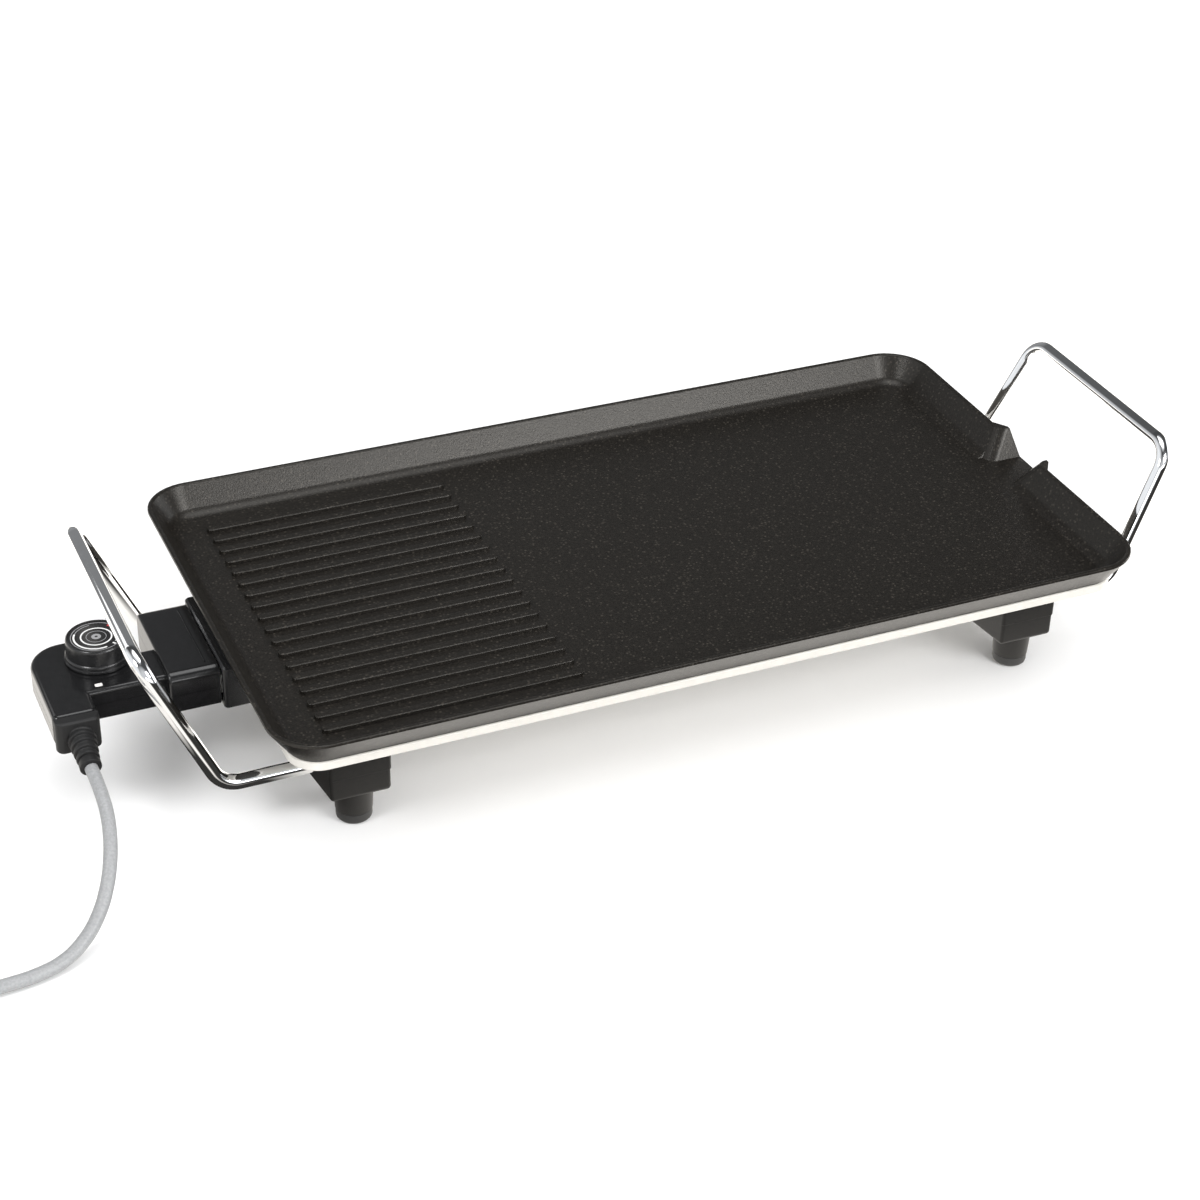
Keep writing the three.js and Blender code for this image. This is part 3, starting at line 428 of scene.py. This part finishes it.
bpy.ops.object.mode_set(mode="OBJECT")
for side in (-1, 1):
    bpy.ops.object.select_all(action="DESELECT")
    bpy.ops.mesh.primitive_cylinder_add(
        vertices=48, radius=corner, depth=cut_height,
        location=(wall_foot + corner, side * (channel_half + corner), floor_top + cut_height / 2))
    post = bpy.context.object
    bpy.ops.object.transform_apply(location=True, rotation=True, scale=True)
    bpy.ops.object.mode_set(mode="EDIT")
    pick_faces(post, lambda middle, normal: normal.z > 0.9)
    bpy.ops.transform.translate(value=(lean_out, side * lean_aside, 0))
    bpy.ops.object.mode_set(mode="OBJECT")
    combine(mouth, post, "DIFFERENCE")
combine(channel, mouth, "UNION")
combine(plate, channel, "DIFFERENCE")

# the spout's raised edges are rounded like the rim
bpy.ops.object.mode_set(mode="EDIT")
bpy.ops.mesh.select_mode(type="EDGE")
bpy.ops.mesh.select_all(action="DESELECT")
bpy.ops.mesh.edges_select_sharp(sharpness=math.radians(40))
bpy.ops.object.mode_set(mode="OBJECT")
for edge in plate.data.edges:
    ends = [plate.data.vertices[end].co for end in edge.vertices]
    edge.select = edge.select and all(
        point.x > wall_foot and abs(point.y) < spout_half + 0.003 and point.z > floor_top + 0.0005
        for point in ends)
bpy.ops.object.mode_set(mode="EDIT")
bpy.ops.mesh.bevel(offset=0.0006, offset_type="OFFSET", segments=2, affect="EDGES", clamp_overlap=True)
bpy.ops.object.mode_set(mode="OBJECT")

# the ribs are one rounded bar, repeated across the tray
rib_left, rib_right = tray_middle - 0.2103, tray_middle - 0.0735
rib_pitch = 0.0118
rib_count = 18
rib_half = 0.0025
rib_bottom, rib_top = floor_top - 0.0015, floor_top + 0.0022
first_rib = -(rib_count - 1) / 2 * rib_pitch
rib = start_block(
    "rib", (rib_left, first_rib - rib_half, rib_bottom), (rib_right, first_rib + rib_half, rib_top))
round_edges(rib, upright, rib_half - 0.0001, 6)
round_edges(rib, level(rib_top), 0.0006, 3)
bpy.ops.object.mode_set(mode="OBJECT")
rows = rib.modifiers.new("rows", "ARRAY")
rows.count = rib_count
rows.use_relative_offset = False
rows.use_constant_offset = True
rows.constant_offset_displace = (0, rib_pitch, 0)
bpy.ops.object.modifier_apply(modifier=rows.name)
combine(plate, rib, "UNION")

non_stick = grained("speckled_non_stick", (0.0095, 0.0082, 0.0068), 0.34, 0.0009, 0.00016, depth=0.5)
# pale flecks of mica in the coating
nodes, links = non_stick.node_tree.nodes, non_stick.node_tree.links
fleck_place = nodes.new("ShaderNodeTexCoord")
flecks = nodes.new("ShaderNodeTexVoronoi")
flecks.inputs["Scale"].default_value = 1 / 0.0022
links.new(fleck_place.outputs["Object"], flecks.inputs["Vector"])
fleck_shape = nodes.new("ShaderNodeMapRange")
fleck_shape.inputs["From Min"].default_value, fleck_shape.inputs["From Max"].default_value = 0.34, 0.2
links.new(flecks.outputs["Distance"], fleck_shape.inputs["Value"])
fleck_pick = nodes.new("ShaderNodeSeparateColor")
links.new(flecks.outputs["Color"], fleck_pick.inputs["Color"])
fleck_amount = nodes.new("ShaderNodeMath")
fleck_amount.operation = "MULTIPLY"
links.new(fleck_shape.outputs["Result"], fleck_amount.inputs[0])
links.new(fleck_pick.outputs["Red"], fleck_amount.inputs[1])
fleck_mix = nodes.new("ShaderNodeMix")
fleck_mix.data_type = "RGBA"
fleck_mix.inputs["B"].default_value = (0.04, 0.035, 0.029, 1)
links.new(fleck_amount.outputs["Value"], fleck_mix.inputs["Factor"])
shader = nodes["Principled BSDF"]
shader.inputs["Specular IOR Level"].default_value = 0.38
shader.inputs["Specular Tint"].default_value = (1, 0.97, 0.92, 1)
links.new(shader.inputs["Base Color"].links[0].from_socket, fleck_mix.inputs["A"])
links.new(fleck_mix.outputs["Result"], shader.inputs["Base Color"])
fit_piece(plate, non_stick, "griddle", ["griddle_plate"], 30)

# ---------- base pan ----------
# A pressed tray of cream-enamelled sheet under the plate. Its lip shows as a pale line below the rim,
# and its deep middle holds the element.
pan_low, pan_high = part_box("base_pan")
lip_bottom, lip_top = 0.0593, 0.0645
sheet = 0.001
pan = rounded_block(
    "pan_pressing", (pan_low.x, pan_low.y, lip_bottom), (pan_high.x, pan_high.y, lip_top),
    0.0165, 0.0012, 12)
well_reach, well_half, well_bottom = 0.16, 0.1, 0.048
well = rounded_block(
    "well", (tray_middle - well_reach, -well_half, well_bottom),
    (tray_middle + well_reach, well_half, lip_bottom + sheet), 0.014, 0.004, 8)
combine(pan, well, "UNION")
trough = rounded_block(
    "trough", (tray_middle - 0.2057, -0.026, 0.0465), (tray_middle - 0.14, 0.026, lip_bottom + sheet),
    0.002, 0.0012, 4)
combine(pan, trough, "UNION")
guard_low, guard_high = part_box("socket_guard")
guard_notch = start_block(
    "guard_notch", (pan_low.x - 0.01, guard_low.y - 0.001, 0.04),
    (guard_high.x + 0.0003, guard_high.y + 0.001, 0.07))
bpy.ops.object.mode_set(mode="OBJECT")
combine(pan, guard_notch, "DIFFERENCE")
hollow = rounded_block(
    "hollow", (pan_low.x + sheet, pan_low.y + sheet, lip_bottom + sheet),
    (pan_high.x - sheet, pan_high.y - sheet, lip_top + 0.002), 0.0155, 0, 12)
combine(pan, hollow, "DIFFERENCE")
well_hollow = rounded_block(
    "well_hollow", (tray_middle - well_reach + sheet, -well_half + sheet, well_bottom + sheet),
    (tray_middle + well_reach - sheet, well_half - sheet, lip_top), 0.013, 0.0035, 8)
combine(pan, well_hollow, "DIFFERENCE")
cream_enamel = grained("cream_enamel", (0.58, 0.56, 0.52), 0.3, 0.004, 0.00002, depth=0.03)
fit_piece(pan, cream_enamel, "griddle", ["base_pan"])

# ---------- feet ----------
# Four moulded heat-proof blocks, wider at the back, each with a round stub below and a rubber pad.
# A faint step runs round each block. One is modelled and the others are mirrored copies.
foot_plastic = grained("foot_matt_plastic", (0.008, 0.0071, 0.0062), 0.55, 0.0007, 0.00006, depth=0.3)
foot_plastic.node_tree.nodes["Principled BSDF"].inputs["Specular IOR Level"].default_value = 0.3
pad_rubber = grained("pad_rubber", (0.012, 0.012, 0.012), 0.65, 0.0005, 0.00005)
foot_centre = (tray_middle - 0.191, -0.085)
block_bottom, step_height = 0.0202, 0.0333
foot = start_block(
    "foot_block_front_left", (foot_centre[0] - 0.0205, -0.0989, block_bottom),
    (foot_centre[0] + 0.0205, -0.06, 0.059))
pick_faces(foot, lambda middle, normal: normal.y < -0.9)
bpy.ops.transform.resize(value=(32 / 41, 1, 1))
round_edges(foot, lambda a, b: abs(a.z - b.z) > 0.01, 0.0016, 4)
round_edges(foot, level(block_bottom), 0.0026, 5)
for height in (step_height + 0.0002, step_height - 0.0002):
    bpy.ops.mesh.select_all(action="SELECT")
    bpy.ops.mesh.bisect(plane_co=(0, 0, height), plane_no=(0, 0, 1))
pick_faces(foot, lambda middle, normal: middle.z < step_height - 0.00025)
bpy.ops.transform.resize(value=(0.978, 0.978, 1))
bpy.ops.object.mode_set(mode="OBJECT")
stub = turned("stub", [
    (0.0094, 0.006), (0.0096, 0.0064), (0.0102, 0.0185), (0.0106, 0.0198), (0.0118, 0.0208),
    (0.0118, 0.024)], foot_centre)
combine(foot, stub, "UNION")
pad = turned("foot_pad_rubber_front_left", [
    (0.0074, 0.0), (0.0084, 0.0003), (0.0091, 0.0011), (0.0093, 0.0022), (0.0093, 0.0057)], foot_centre)


def copied(piece, name, flip_x=False, flip_y=False):
    """A copy of a piece, mirrored about the middle of the tray where asked."""
    pick_piece(piece)
    bpy.ops.object.duplicate()
    copy = bpy.context.object
    copy.name = name
    bpy.ops.object.mode_set(mode="EDIT")
    bpy.ops.mesh.select_all(action="SELECT")
    bpy.ops.transform.resize(
        value=(-1 if flip_x else 1, -1 if flip_y else 1, 1), center_override=(tray_middle, 0, 0))
    bpy.ops.object.mode_set(mode="OBJECT")
    return copy


for place, flip_x, flip_y in (
        ("front_right", True, False), ("rear_left", False, True), ("rear_right", True, True)):
    fit_piece(copied(foot, f"foot_block_{place}", flip_x, flip_y), foot_plastic, "griddle",
              [f"foot_{place}"])
    fit_piece(copied(pad, f"foot_pad_rubber_{place}", flip_x, flip_y), pad_rubber, "griddle",
              [f"foot_pad_{place}"])
fit_piece(foot, foot_plastic, "griddle", ["foot_front_left"])
fit_piece(pad, pad_rubber, "griddle", ["foot_pad_front_left"])

# ---------- handles ----------
# Two bows of 8 mm chrome-plated rod. Each runs out of two foot blocks, bends up and leans out to its grip.
chrome = grained("polished_chrome", (0.86, 0.865, 0.875), 0.07, 0.006, 0.000004, metallic=1.0, depth=0.02)
rod_thickness = 0.008
bend_radius = 0.014
leg_y, grip_y = 0.0775, 0.069


def bent_rod_points(corners, radius, steps=10):
    """Points along straight runs whose corners are rounded to one radius."""
    corners = [Vector(corner) for corner in corners]
    points = [corners[0]]
    for before, corner, after in zip(corners, corners[1:], corners[2:]):
        back, on = (before - corner).normalized(), (after - corner).normalized()
        half = back.angle(on) / 2
        start, end = corner + back * (radius / math.tan(half)), corner + on * (radius / math.tan(half))
        middle = corner + (back + on).normalized() * (radius / math.sin(half))
        for step in range(steps + 1):
            arm = (start - middle).lerp(end - middle, step / steps)
            points.append(middle + arm.normalized() * radius)
    return points + [corners[-1]]


for side, sign in (("left", -1), ("right", 1)):
    low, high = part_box(f"handle_{side}")
    grip_x = (low.x if sign < 0 else high.x) - sign * rod_thickness / 2
    leg_x, end_x = tray_middle + sign * 0.2555, tray_middle + sign * 0.202
    leg_z, grip_z = 0.031, high.z - rod_thickness / 2
    route = bent_rod_points([
        (end_x, -leg_y, leg_z), (leg_x, -leg_y, leg_z), (grip_x, -grip_y, grip_z),
        (grip_x, grip_y, grip_z), (leg_x, leg_y, leg_z), (end_x, leg_y, leg_z)], bend_radius)
    smooth_line(f"handle_bow_{side}", route, rod_thickness, 7, "VECTOR", 1)
    bpy.ops.object.convert(target="MESH")
    fit_piece(bpy.context.object, chrome, "griddle", [f"handle_{side}"], 60)

# ---------- controller housing ----------
# Two glossy black shells, screwed together from below: a head that meets the socket, a neck, and an arm
# that turns to the front with the dial on its corner. A fine gap shows where the shells meet.
gloss_black = grained("gloss_black_plastic", (0.009, 0.009, 0.0095), 0.16, 0.003, 0.000012, depth=0.15)
split, half_gap = 0.056, 0.00012
head_left, head_right = tray_middle - 0.267, tray_middle - 0.2412
arm_left, arm_right = tray_middle - 0.3276, tray_middle - 0.305
arm_front, arm_rear = -0.04, 0.0255
neck_top, arm_bottom = 0.0645, 0.0475
housing = start_block("housing", (head_left, -0.031, 0.044), (head_right, 0.0345, 0.068))
round_edges(housing, lambda a, b: abs(a.x - b.x) > 0.02, 0.005, 8)
round_edges(housing, lambda a, b: a.x < head_left + 1e-5 and b.x < head_left + 1e-5, 0.0014, 3)
bpy.ops.object.mode_set(mode="OBJECT")
neck = start_block("neck", (arm_left + 0.008, -0.024, 0.0465), (head_left + 0.006, 0.003, neck_top))
round_edges(neck, lambda a, b: abs(a.x - b.x) > 0.02, 0.0022, 5)
bpy.ops.object.mode_set(mode="OBJECT")
combine(housing, neck, "UNION")
arm = start_block("arm", (arm_left, arm_front, arm_bottom), (arm_right, arm_rear, neck_top))
round_edges(arm, lambda a, b: upright(a, b) and a.x < arm_left + 1e-5 and a.y > 0, 0.018, 16)
round_edges(arm, lambda a, b: upright(a, b) and a.y < arm_front + 1e-5, 0.0035, 6)
round_edges(arm, level(neck_top), 0.0026, 5)
round_edges(arm, level(arm_bottom), 0.0022, 4)
bpy.ops.object.mode_set(mode="OBJECT")
combine(housing, arm, "UNION")
dial_low, dial_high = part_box("dial_knob")
dial_middle = ((dial_low.x + dial_high.x) / 2, (dial_low.y + dial_high.y) / 2)
boss = turned("boss", [
    (0.0168, arm_bottom), (0.0182, arm_bottom + 0.0006), (0.019, arm_bottom + 0.0022),
    (0.019, neck_top - 0.0026), (0.0185, neck_top - 0.001), (0.0172, neck_top)], dial_middle, 72)
combine(housing, boss, "UNION")
soften(housing, 0.0006, 2, 40)
for name, above, node in (
        ("controller_top_shell", True, "controller_upper_shell"),
        ("controller_bottom_shell", False, "controller_lower_shell")):
    half = copied(housing, name)
    bpy.ops.object.mode_set(mode="EDIT")
    bpy.ops.mesh.select_all(action="SELECT")
    bpy.ops.mesh.bisect(
        plane_co=(0, 0, split + (half_gap if above else -half_gap)), plane_no=(0, 0, 1), use_fill=True,
        clear_inner=above, clear_outer=not above)
    bpy.ops.object.mode_set(mode="OBJECT")
    fit_piece(half, gloss_black, "controller", [node], 38)
bpy.data.objects.remove(housing, do_unlink=True)

# ---------- head seam ----------
# A fine raised bead along the head's top, beside the socket, with a round end.
bead_x, bead_z = head_right - 0.0056, 0.06812
smooth_line("head_bead", [(bead_x, y, bead_z) for y in (0.027, 0.01, -0.008, -0.0235)], 0.0009, 3)
bpy.ops.object.convert(target="MESH")
fit_piece(bpy.context.object, gloss_black, "controller", (), 60)

# ---------- cord bushing and ribbed sleeve ----------
# A matt rubber collar closes the end of the arm, and a ribbed sleeve keeps the cord from bending sharply.
soft_rubber = grained("sleeve_rubber", (0.006, 0.006, 0.0063), 0.58, 0.0006, 0.00005)
low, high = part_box("cord_bushing")
collar = start_block("arm_collar", low, high)
round_edges(collar, lambda a, b: upright(a, b) and a.y < low.y + 1e-5, 0.0034, 6)
round_edges(collar, lambda a, b: max(a.y, b.y) < high.y - 1e-4 and abs(a.z - b.z) < 1e-6, 0.0014, 3)
bpy.ops.object.mode_set(mode="OBJECT")
fit_piece(collar, soft_rubber, "controller", ["cord_bushing"])

sleeve_root = (-0.2988, -0.0405, 0.0552)
sleeve_run = [b - a for a, b in zip(sleeve_root, cord_exit)]
sleeve_length = math.sqrt(sum(part * part for part in sleeve_run))
rings = [(0.0072, -0.004), (0.0072, 0.0048), (0.0069, 0.0054)]
for ring in range(4):
    start = 0.006 + ring * 0.0042
    wide = 0.0071 - ring * 0.00045
    rings += [(wide - 0.0012, start), (wide - 0.0002, start + 0.0003), (wide, start + 0.0008),
              (wide, start + 0.002), (wide - 0.0002, start + 0.0025), (wide - 0.0012, start + 0.0028)]
rings += [(0.0054, 0.0232), (0.0054, sleeve_length - 0.0006), (0.0048, sleeve_length - 0.0001)]
sleeve = turned("cord_sleeve", rings)
lay_along(sleeve, sleeve_root, sleeve_run)
fit_piece(sleeve, soft_rubber, "controller", ["strain_relief"], 50)

# ---------- heat dial ----------
# A round satin-black knob with two fine ridges at its foot, and a dark disc on top that is printed with
# rings, a scale of ticks and a red mark.
dial_base, dial_top = dial_low.z, dial_high.z
dial_plastic = grained("dial_satin_plastic", (0.012, 0.012, 0.0125), 0.24, 0.0009, 0.00002)
knob = turned("dial_cap", [
    (0.0163, dial_base), (0.0168, dial_base + 0.0003), (0.0168, dial_base + 0.0012),
    (0.0163, dial_base + 0.0016), (0.016, dial_base + 0.0018), (0.0161, dial_base + 0.0021),
    (0.0165, dial_base + 0.0025), (0.0165, dial_base + 0.0034), (0.0161, dial_base + 0.0039),
    (0.0158, dial_base + 0.0042), (0.0156, dial_top - 0.0016), (0.0154, dial_top - 0.0007),
    (0.0149, dial_top - 0.0001), (0.0146, dial_top), (0.0143, dial_top - 0.0002),
    (0.0142, dial_top - 0.0006), (0.005, dial_top - 0.0006)], dial_middle, 96)
fit_piece(knob, dial_plastic, "dial", ["dial_knob", "dial_disc"], 42)

print_white = grained("printed_white", (0.75, 0.75, 0.75), 0.4, 0.0004, 0.000002, depth=0.04)
print_grey = grained("printed_grey", (0.28, 0.28, 0.29), 0.4, 0.0004, 0.000002, depth=0.05)
print_red = grained("printed_red", (0.55, 0.02, 0.025), 0.4, 0.0004, 0.000002, depth=0.06)
print_height = dial_top - 0.00058
# each row is a mark's middle radius, its width, the two angles between which it runs, and its ink
scale_marks = [
    ("dial_outer_ring", 0.0127, 0.00035, 0, 360, print_grey),
    ("dial_sweep", 0.0112, 0.0009, 150, 285, print_white),
    ("dial_sweep_end", 0.0112, 0.0004, 95, 150, print_grey),
    ("dial_inner_ring", 0.0077, 0.00075, 0, 360, print_white),
    ("dial_centre_ring", 0.005, 0.0003, 0, 360, print_grey),
    ("dial_centre_dot", 0.0016, 0.0016, 0, 360, print_grey),
    ("dial_red_mark", 0.0118, 0.0022, 34, 47, print_red),
]
first_tick, tick_pitch, tick_width = 306, 13, 4.5
for tick in range(4):
    start = first_tick + tick_pitch * tick
    scale_marks.append((f"dial_tick_{tick + 1}", 0.0113, 0.0018, start, start + tick_width, print_white))
for name, radius, width, start, end, ink in scale_marks:
    bpy.ops.object.select_all(action="DESELECT")
    bpy.ops.mesh.primitive_plane_add(
        size=1, location=(dial_middle[0] + radius, dial_middle[1] + 0.5, print_height))
    mark = bpy.context.object
    mark.name = name
    bpy.ops.object.transform_apply(location=True, rotation=True, scale=True)
    bpy.ops.object.mode_set(mode="EDIT")
    # only the plane's near edge stays, and is spun round the dial from start to end
    pick_edges(mark, lambda a, b: min(a.y, b.y) > dial_middle[1] + 0.5)
    bpy.ops.mesh.delete(type="VERT")
    bpy.ops.mesh.select_all(action="SELECT")
    bpy.ops.transform.resize(value=(width, 1, 1))
    bpy.ops.transform.rotate(
        value=-math.radians(start), orient_axis="Z", center_override=(dial_middle[0], dial_middle[1], 0))
    bpy.ops.mesh.spin(
        steps=max(int((end - start) / 4), 2), angle=-math.radians(end - start),
        center=(dial_middle[0], dial_middle[1], 0), axis=(0, 0, 1))
    bpy.ops.mesh.select_all(action="SELECT")
    bpy.ops.mesh.remove_doubles(threshold=1e-6)
    bpy.ops.mesh.extrude_region_move(TRANSFORM_OT_translate={"value": (0, 0, 0.00006)})
    bpy.ops.object.mode_set(mode="OBJECT")
    fit_piece(mark, ink, "dial")

# ---------- pilot lens ----------
# A small window at the neck's front edge, over a neon lamp. Its pale colour is a painted highlight: it
# stands in for the glint at the corner where the arm meets the neck.
low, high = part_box("pilot_lens")
lens_painted_glint = grained("lens_painted_glint", (0.78, 0.76, 0.74), 0.12, 0.002, 0.000005, depth=0.03)
window_edge = 0.0004
lens = rounded_block(
    "pilot_window", (low.x + window_edge, low.y + window_edge, low.z),
    (high.x - window_edge, high.y - window_edge, high.z - 0.0002), 0.0005, 0.0002, 4)
fit_piece(lens, lens_painted_glint, "controller", ["pilot_lens"])

# ---------- fittings that keep their engineering shape ----------
# The element, its terminals and clamps, the socket guard, the probe, contacts, thermostat and screws.
zinc = grained("zinc_plate", (0.55, 0.56, 0.57), 0.34, 0.0015, 0.00001, metallic=1.0, depth=0.1)
element_steel = grained(
    "heat_dulled_steel", (0.2, 0.18, 0.165), 0.42, 0.003, 0.00001, metallic=1.0, depth=0.3)
drawn_steel = grained("drawn_steel", (0.62, 0.63, 0.64), 0.25, 0.002, 0.000005, metallic=1.0, depth=0.06)
terminal_brass = grained("terminal_brass", (0.66, 0.54, 0.3), 0.3, 0.001, 0.00001, metallic=1.0, depth=0.1)
bimetal_strip = grained("bimetal", (0.5, 0.36, 0.2), 0.35, 0.001, 0.00001, metallic=1.0, depth=0.15)
white_ceramic = grained("white_ceramic", (0.8, 0.79, 0.75), 0.25, 0.002, 0.00002, depth=0.04)
guard_black = grained("guard_black_plastic", (0.011, 0.011, 0.0115), 0.22, 0.002, 0.00002, depth=0.2)
lamp_glass = grained("lamp_glass", (0.75, 0.4, 0.28), 0.08, 0.002, 0.000002, depth=0.1)
finish_of = {
    "plated_steel": zinc, "screw_steel": zinc, "element_sheath": element_steel, "probe_metal": drawn_steel,
    "terminal_metal": terminal_brass, "bimetal": bimetal_strip, "ceramic": white_ceramic,
    "guard_plastic": guard_black, "lamp_glass": lamp_glass,
}
slot_of = {row["node"]: row["material_slot"] for row in frame["record"]["subparts"]}
for node, piece in frame["nodes"].items():
    if not piece.hide_render:
        piece.data.materials.clear()
        piece.data.materials.append(finish_of[slot_of[node]])

# ---------- floor and light ----------
# A plain pale table under four soft lamps: from above, from the front right, from the left and low at the
# front. Shiny parts reflect a darker room than the one that lights the table.
bpy.ops.object.select_all(action="DESELECT")
bpy.ops.mesh.primitive_plane_add(size=12, location=(0, 0, -0.0002))
table = bpy.context.object
table.name = "table_top"
table_finish = bpy.data.materials.new("pale_table")
table_finish.use_nodes = True
nodes, links = table_finish.node_tree.nodes, table_finish.node_tree.links
nodes["Principled BSDF"].inputs["Base Color"].default_value = (0.9, 0.9, 0.9, 1)
nodes["Principled BSDF"].inputs["Roughness"].default_value = 0.7
# in reflections the table is pale in a few zones and nearly black between them
place = nodes.new("ShaderNodeTexCoord")
parts = nodes.new("ShaderNodeSeparateXYZ")
links.new(place.outputs["Object"], parts.inputs["Vector"])


def zone(axis, dark_end, bright_end, strength=1.0):
    """Grows from nothing to the strength between two values of one of the present parts."""
    ramp = nodes.new("ShaderNodeMapRange")
    ramp.inputs["From Min"].default_value = dark_end
    ramp.inputs["From Max"].default_value = bright_end
    ramp.inputs["To Max"].default_value = strength
    links.new(parts.outputs[axis], ramp.inputs["Value"])
    return ramp.outputs["Result"]


def joined(operation, first, second):
    """The greater or the product of two sockets or numbers."""
    node = nodes.new("ShaderNodeMath")
    node.operation = operation
    for socket, value in zip(node.inputs, (first, second)):
        if isinstance(value, float):
            socket.default_value = value
        else:
            links.new(value, socket)
    return node.outputs["Value"]


def seen_in_mirrors(plain, mirrored, output):
    """Sends one shader to the output, and the other only to reflections."""
    ray = nodes.new("ShaderNodeLightPath")
    mix = nodes.new("ShaderNodeMixShader")
    links.new(ray.outputs["Is Glossy Ray"], mix.inputs["Fac"])
    links.new(plain, mix.inputs[1])
    links.new(mirrored, mix.inputs[2])
    links.new(mix.outputs["Shader"], nodes[output].inputs["Surface"])


middle_zone = joined("MULTIPLY", zone("X", -0.21, -0.16), zone("Y", -0.148, -0.12, 2.1))
left_zone = joined("MULTIPLY", zone("X", -0.3, -0.33), zone("Y", -0.02, 0.04, 1.7))
front_left_zone = joined("MULTIPLY", zone("X", -0.2, -0.24), zone("Y", -0.14, -0.16, 1.2))
far_left = zone("X", -0.285, -0.31, 1.1)
rear_zone = zone("Y", 0.0, 0.06, 1.2)
pale = 0.04
for part in (middle_zone, left_zone, far_left, rear_zone, front_left_zone):
    pale = joined("MAXIMUM", part, pale)
mirrored = nodes.new("ShaderNodeEmission")
mirrored.inputs["Color"].default_value = (1, 0.965, 0.91, 1)
links.new(pale, mirrored.inputs["Strength"])
seen_in_mirrors(nodes["Principled BSDF"].outputs["BSDF"], mirrored.outputs["Emission"], "Material Output")
table.data.materials.append(table_finish)

world = bpy.data.worlds.new("studio")
bpy.context.scene.world = world
world.use_nodes = True
nodes, links = world.node_tree.nodes, world.node_tree.links
nodes["Background"].inputs["Color"].default_value = (1, 1, 1, 1)
nodes["Background"].inputs["Strength"].default_value = 0.95
# shiny parts see a dark room with pale patches to the left, right, front and rear, and overhead
room = nodes.new("ShaderNodeBackground")
place = nodes.new("ShaderNodeTexCoord")
parts = nodes.new("ShaderNodeSeparateXYZ")
links.new(place.outputs["Generated"], parts.inputs["Vector"])
total = 0.07
for part in (
        zone("X", -0.45, -0.8), zone("X", 0.88, 0.97, 2.6), zone("Y", -0.45, -0.8, 0.7),
        zone("Y", 0.6, 0.9, 0.3), zone("Z", 0.86, 0.97, 0.9)):
    total = joined("MAXIMUM", part, total)
links.new(total, room.inputs["Strength"])
room.inputs["Color"].default_value = (0.96, 0.98, 1, 1)
seen_in_mirrors(nodes["Background"].outputs["Background"], room.outputs["Background"], "World Output")


def soft_light(name, location, aim, size, power):
    """A rectangular lamp that faces a point."""
    bpy.ops.object.light_add(type="AREA", location=location)
    lamp = bpy.context.object
    lamp.name = name
    lamp.data.shape = "RECTANGLE"
    lamp.data.size, lamp.data.size_y = size
    lamp.data.energy = power
    lamp.rotation_euler = (Vector(aim) - Vector(location)).to_track_quat("-Z", "Y").to_euler()


soft_light("top_light", (0.1, 0.1, 1.7), (0, 0, 0), (1.2, 0.8), 8)
soft_light("front_light", (0.8, -1.6, 1.15), (0.03, 0.13, 0.07), (0.9, 0.7), 24)
soft_light("left_light", (-1.05, -0.45, 0.9), (0.1, 0.05, 0.06), (0.35, 0.35), 6)
soft_light("low_light", (0.1, -1.4, 0.3), (0.1, -0.12, 0), (1.4, 0.2), 4)

# a bright card behind the left handle that only reflections show
bpy.ops.object.select_all(action="DESELECT")
bpy.ops.mesh.primitive_plane_add(
    size=0.46, location=(-0.56, 0.48, 0.44), rotation=(math.radians(60), 0, math.radians(-25)))
card = bpy.context.object
card.name = "reflector_card"
card_finish = bpy.data.materials.new("reflector_card")
card_finish.use_nodes = True
card_glow = card_finish.node_tree.nodes.new("ShaderNodeEmission")
card_glow.inputs["Strength"].default_value = 1.4
card_finish.node_tree.links.new(
    card_glow.outputs["Emission"], card_finish.node_tree.nodes["Material Output"].inputs["Surface"])
card.data.materials.append(card_finish)
card.visible_camera = card.visible_diffuse = card.visible_shadow = False
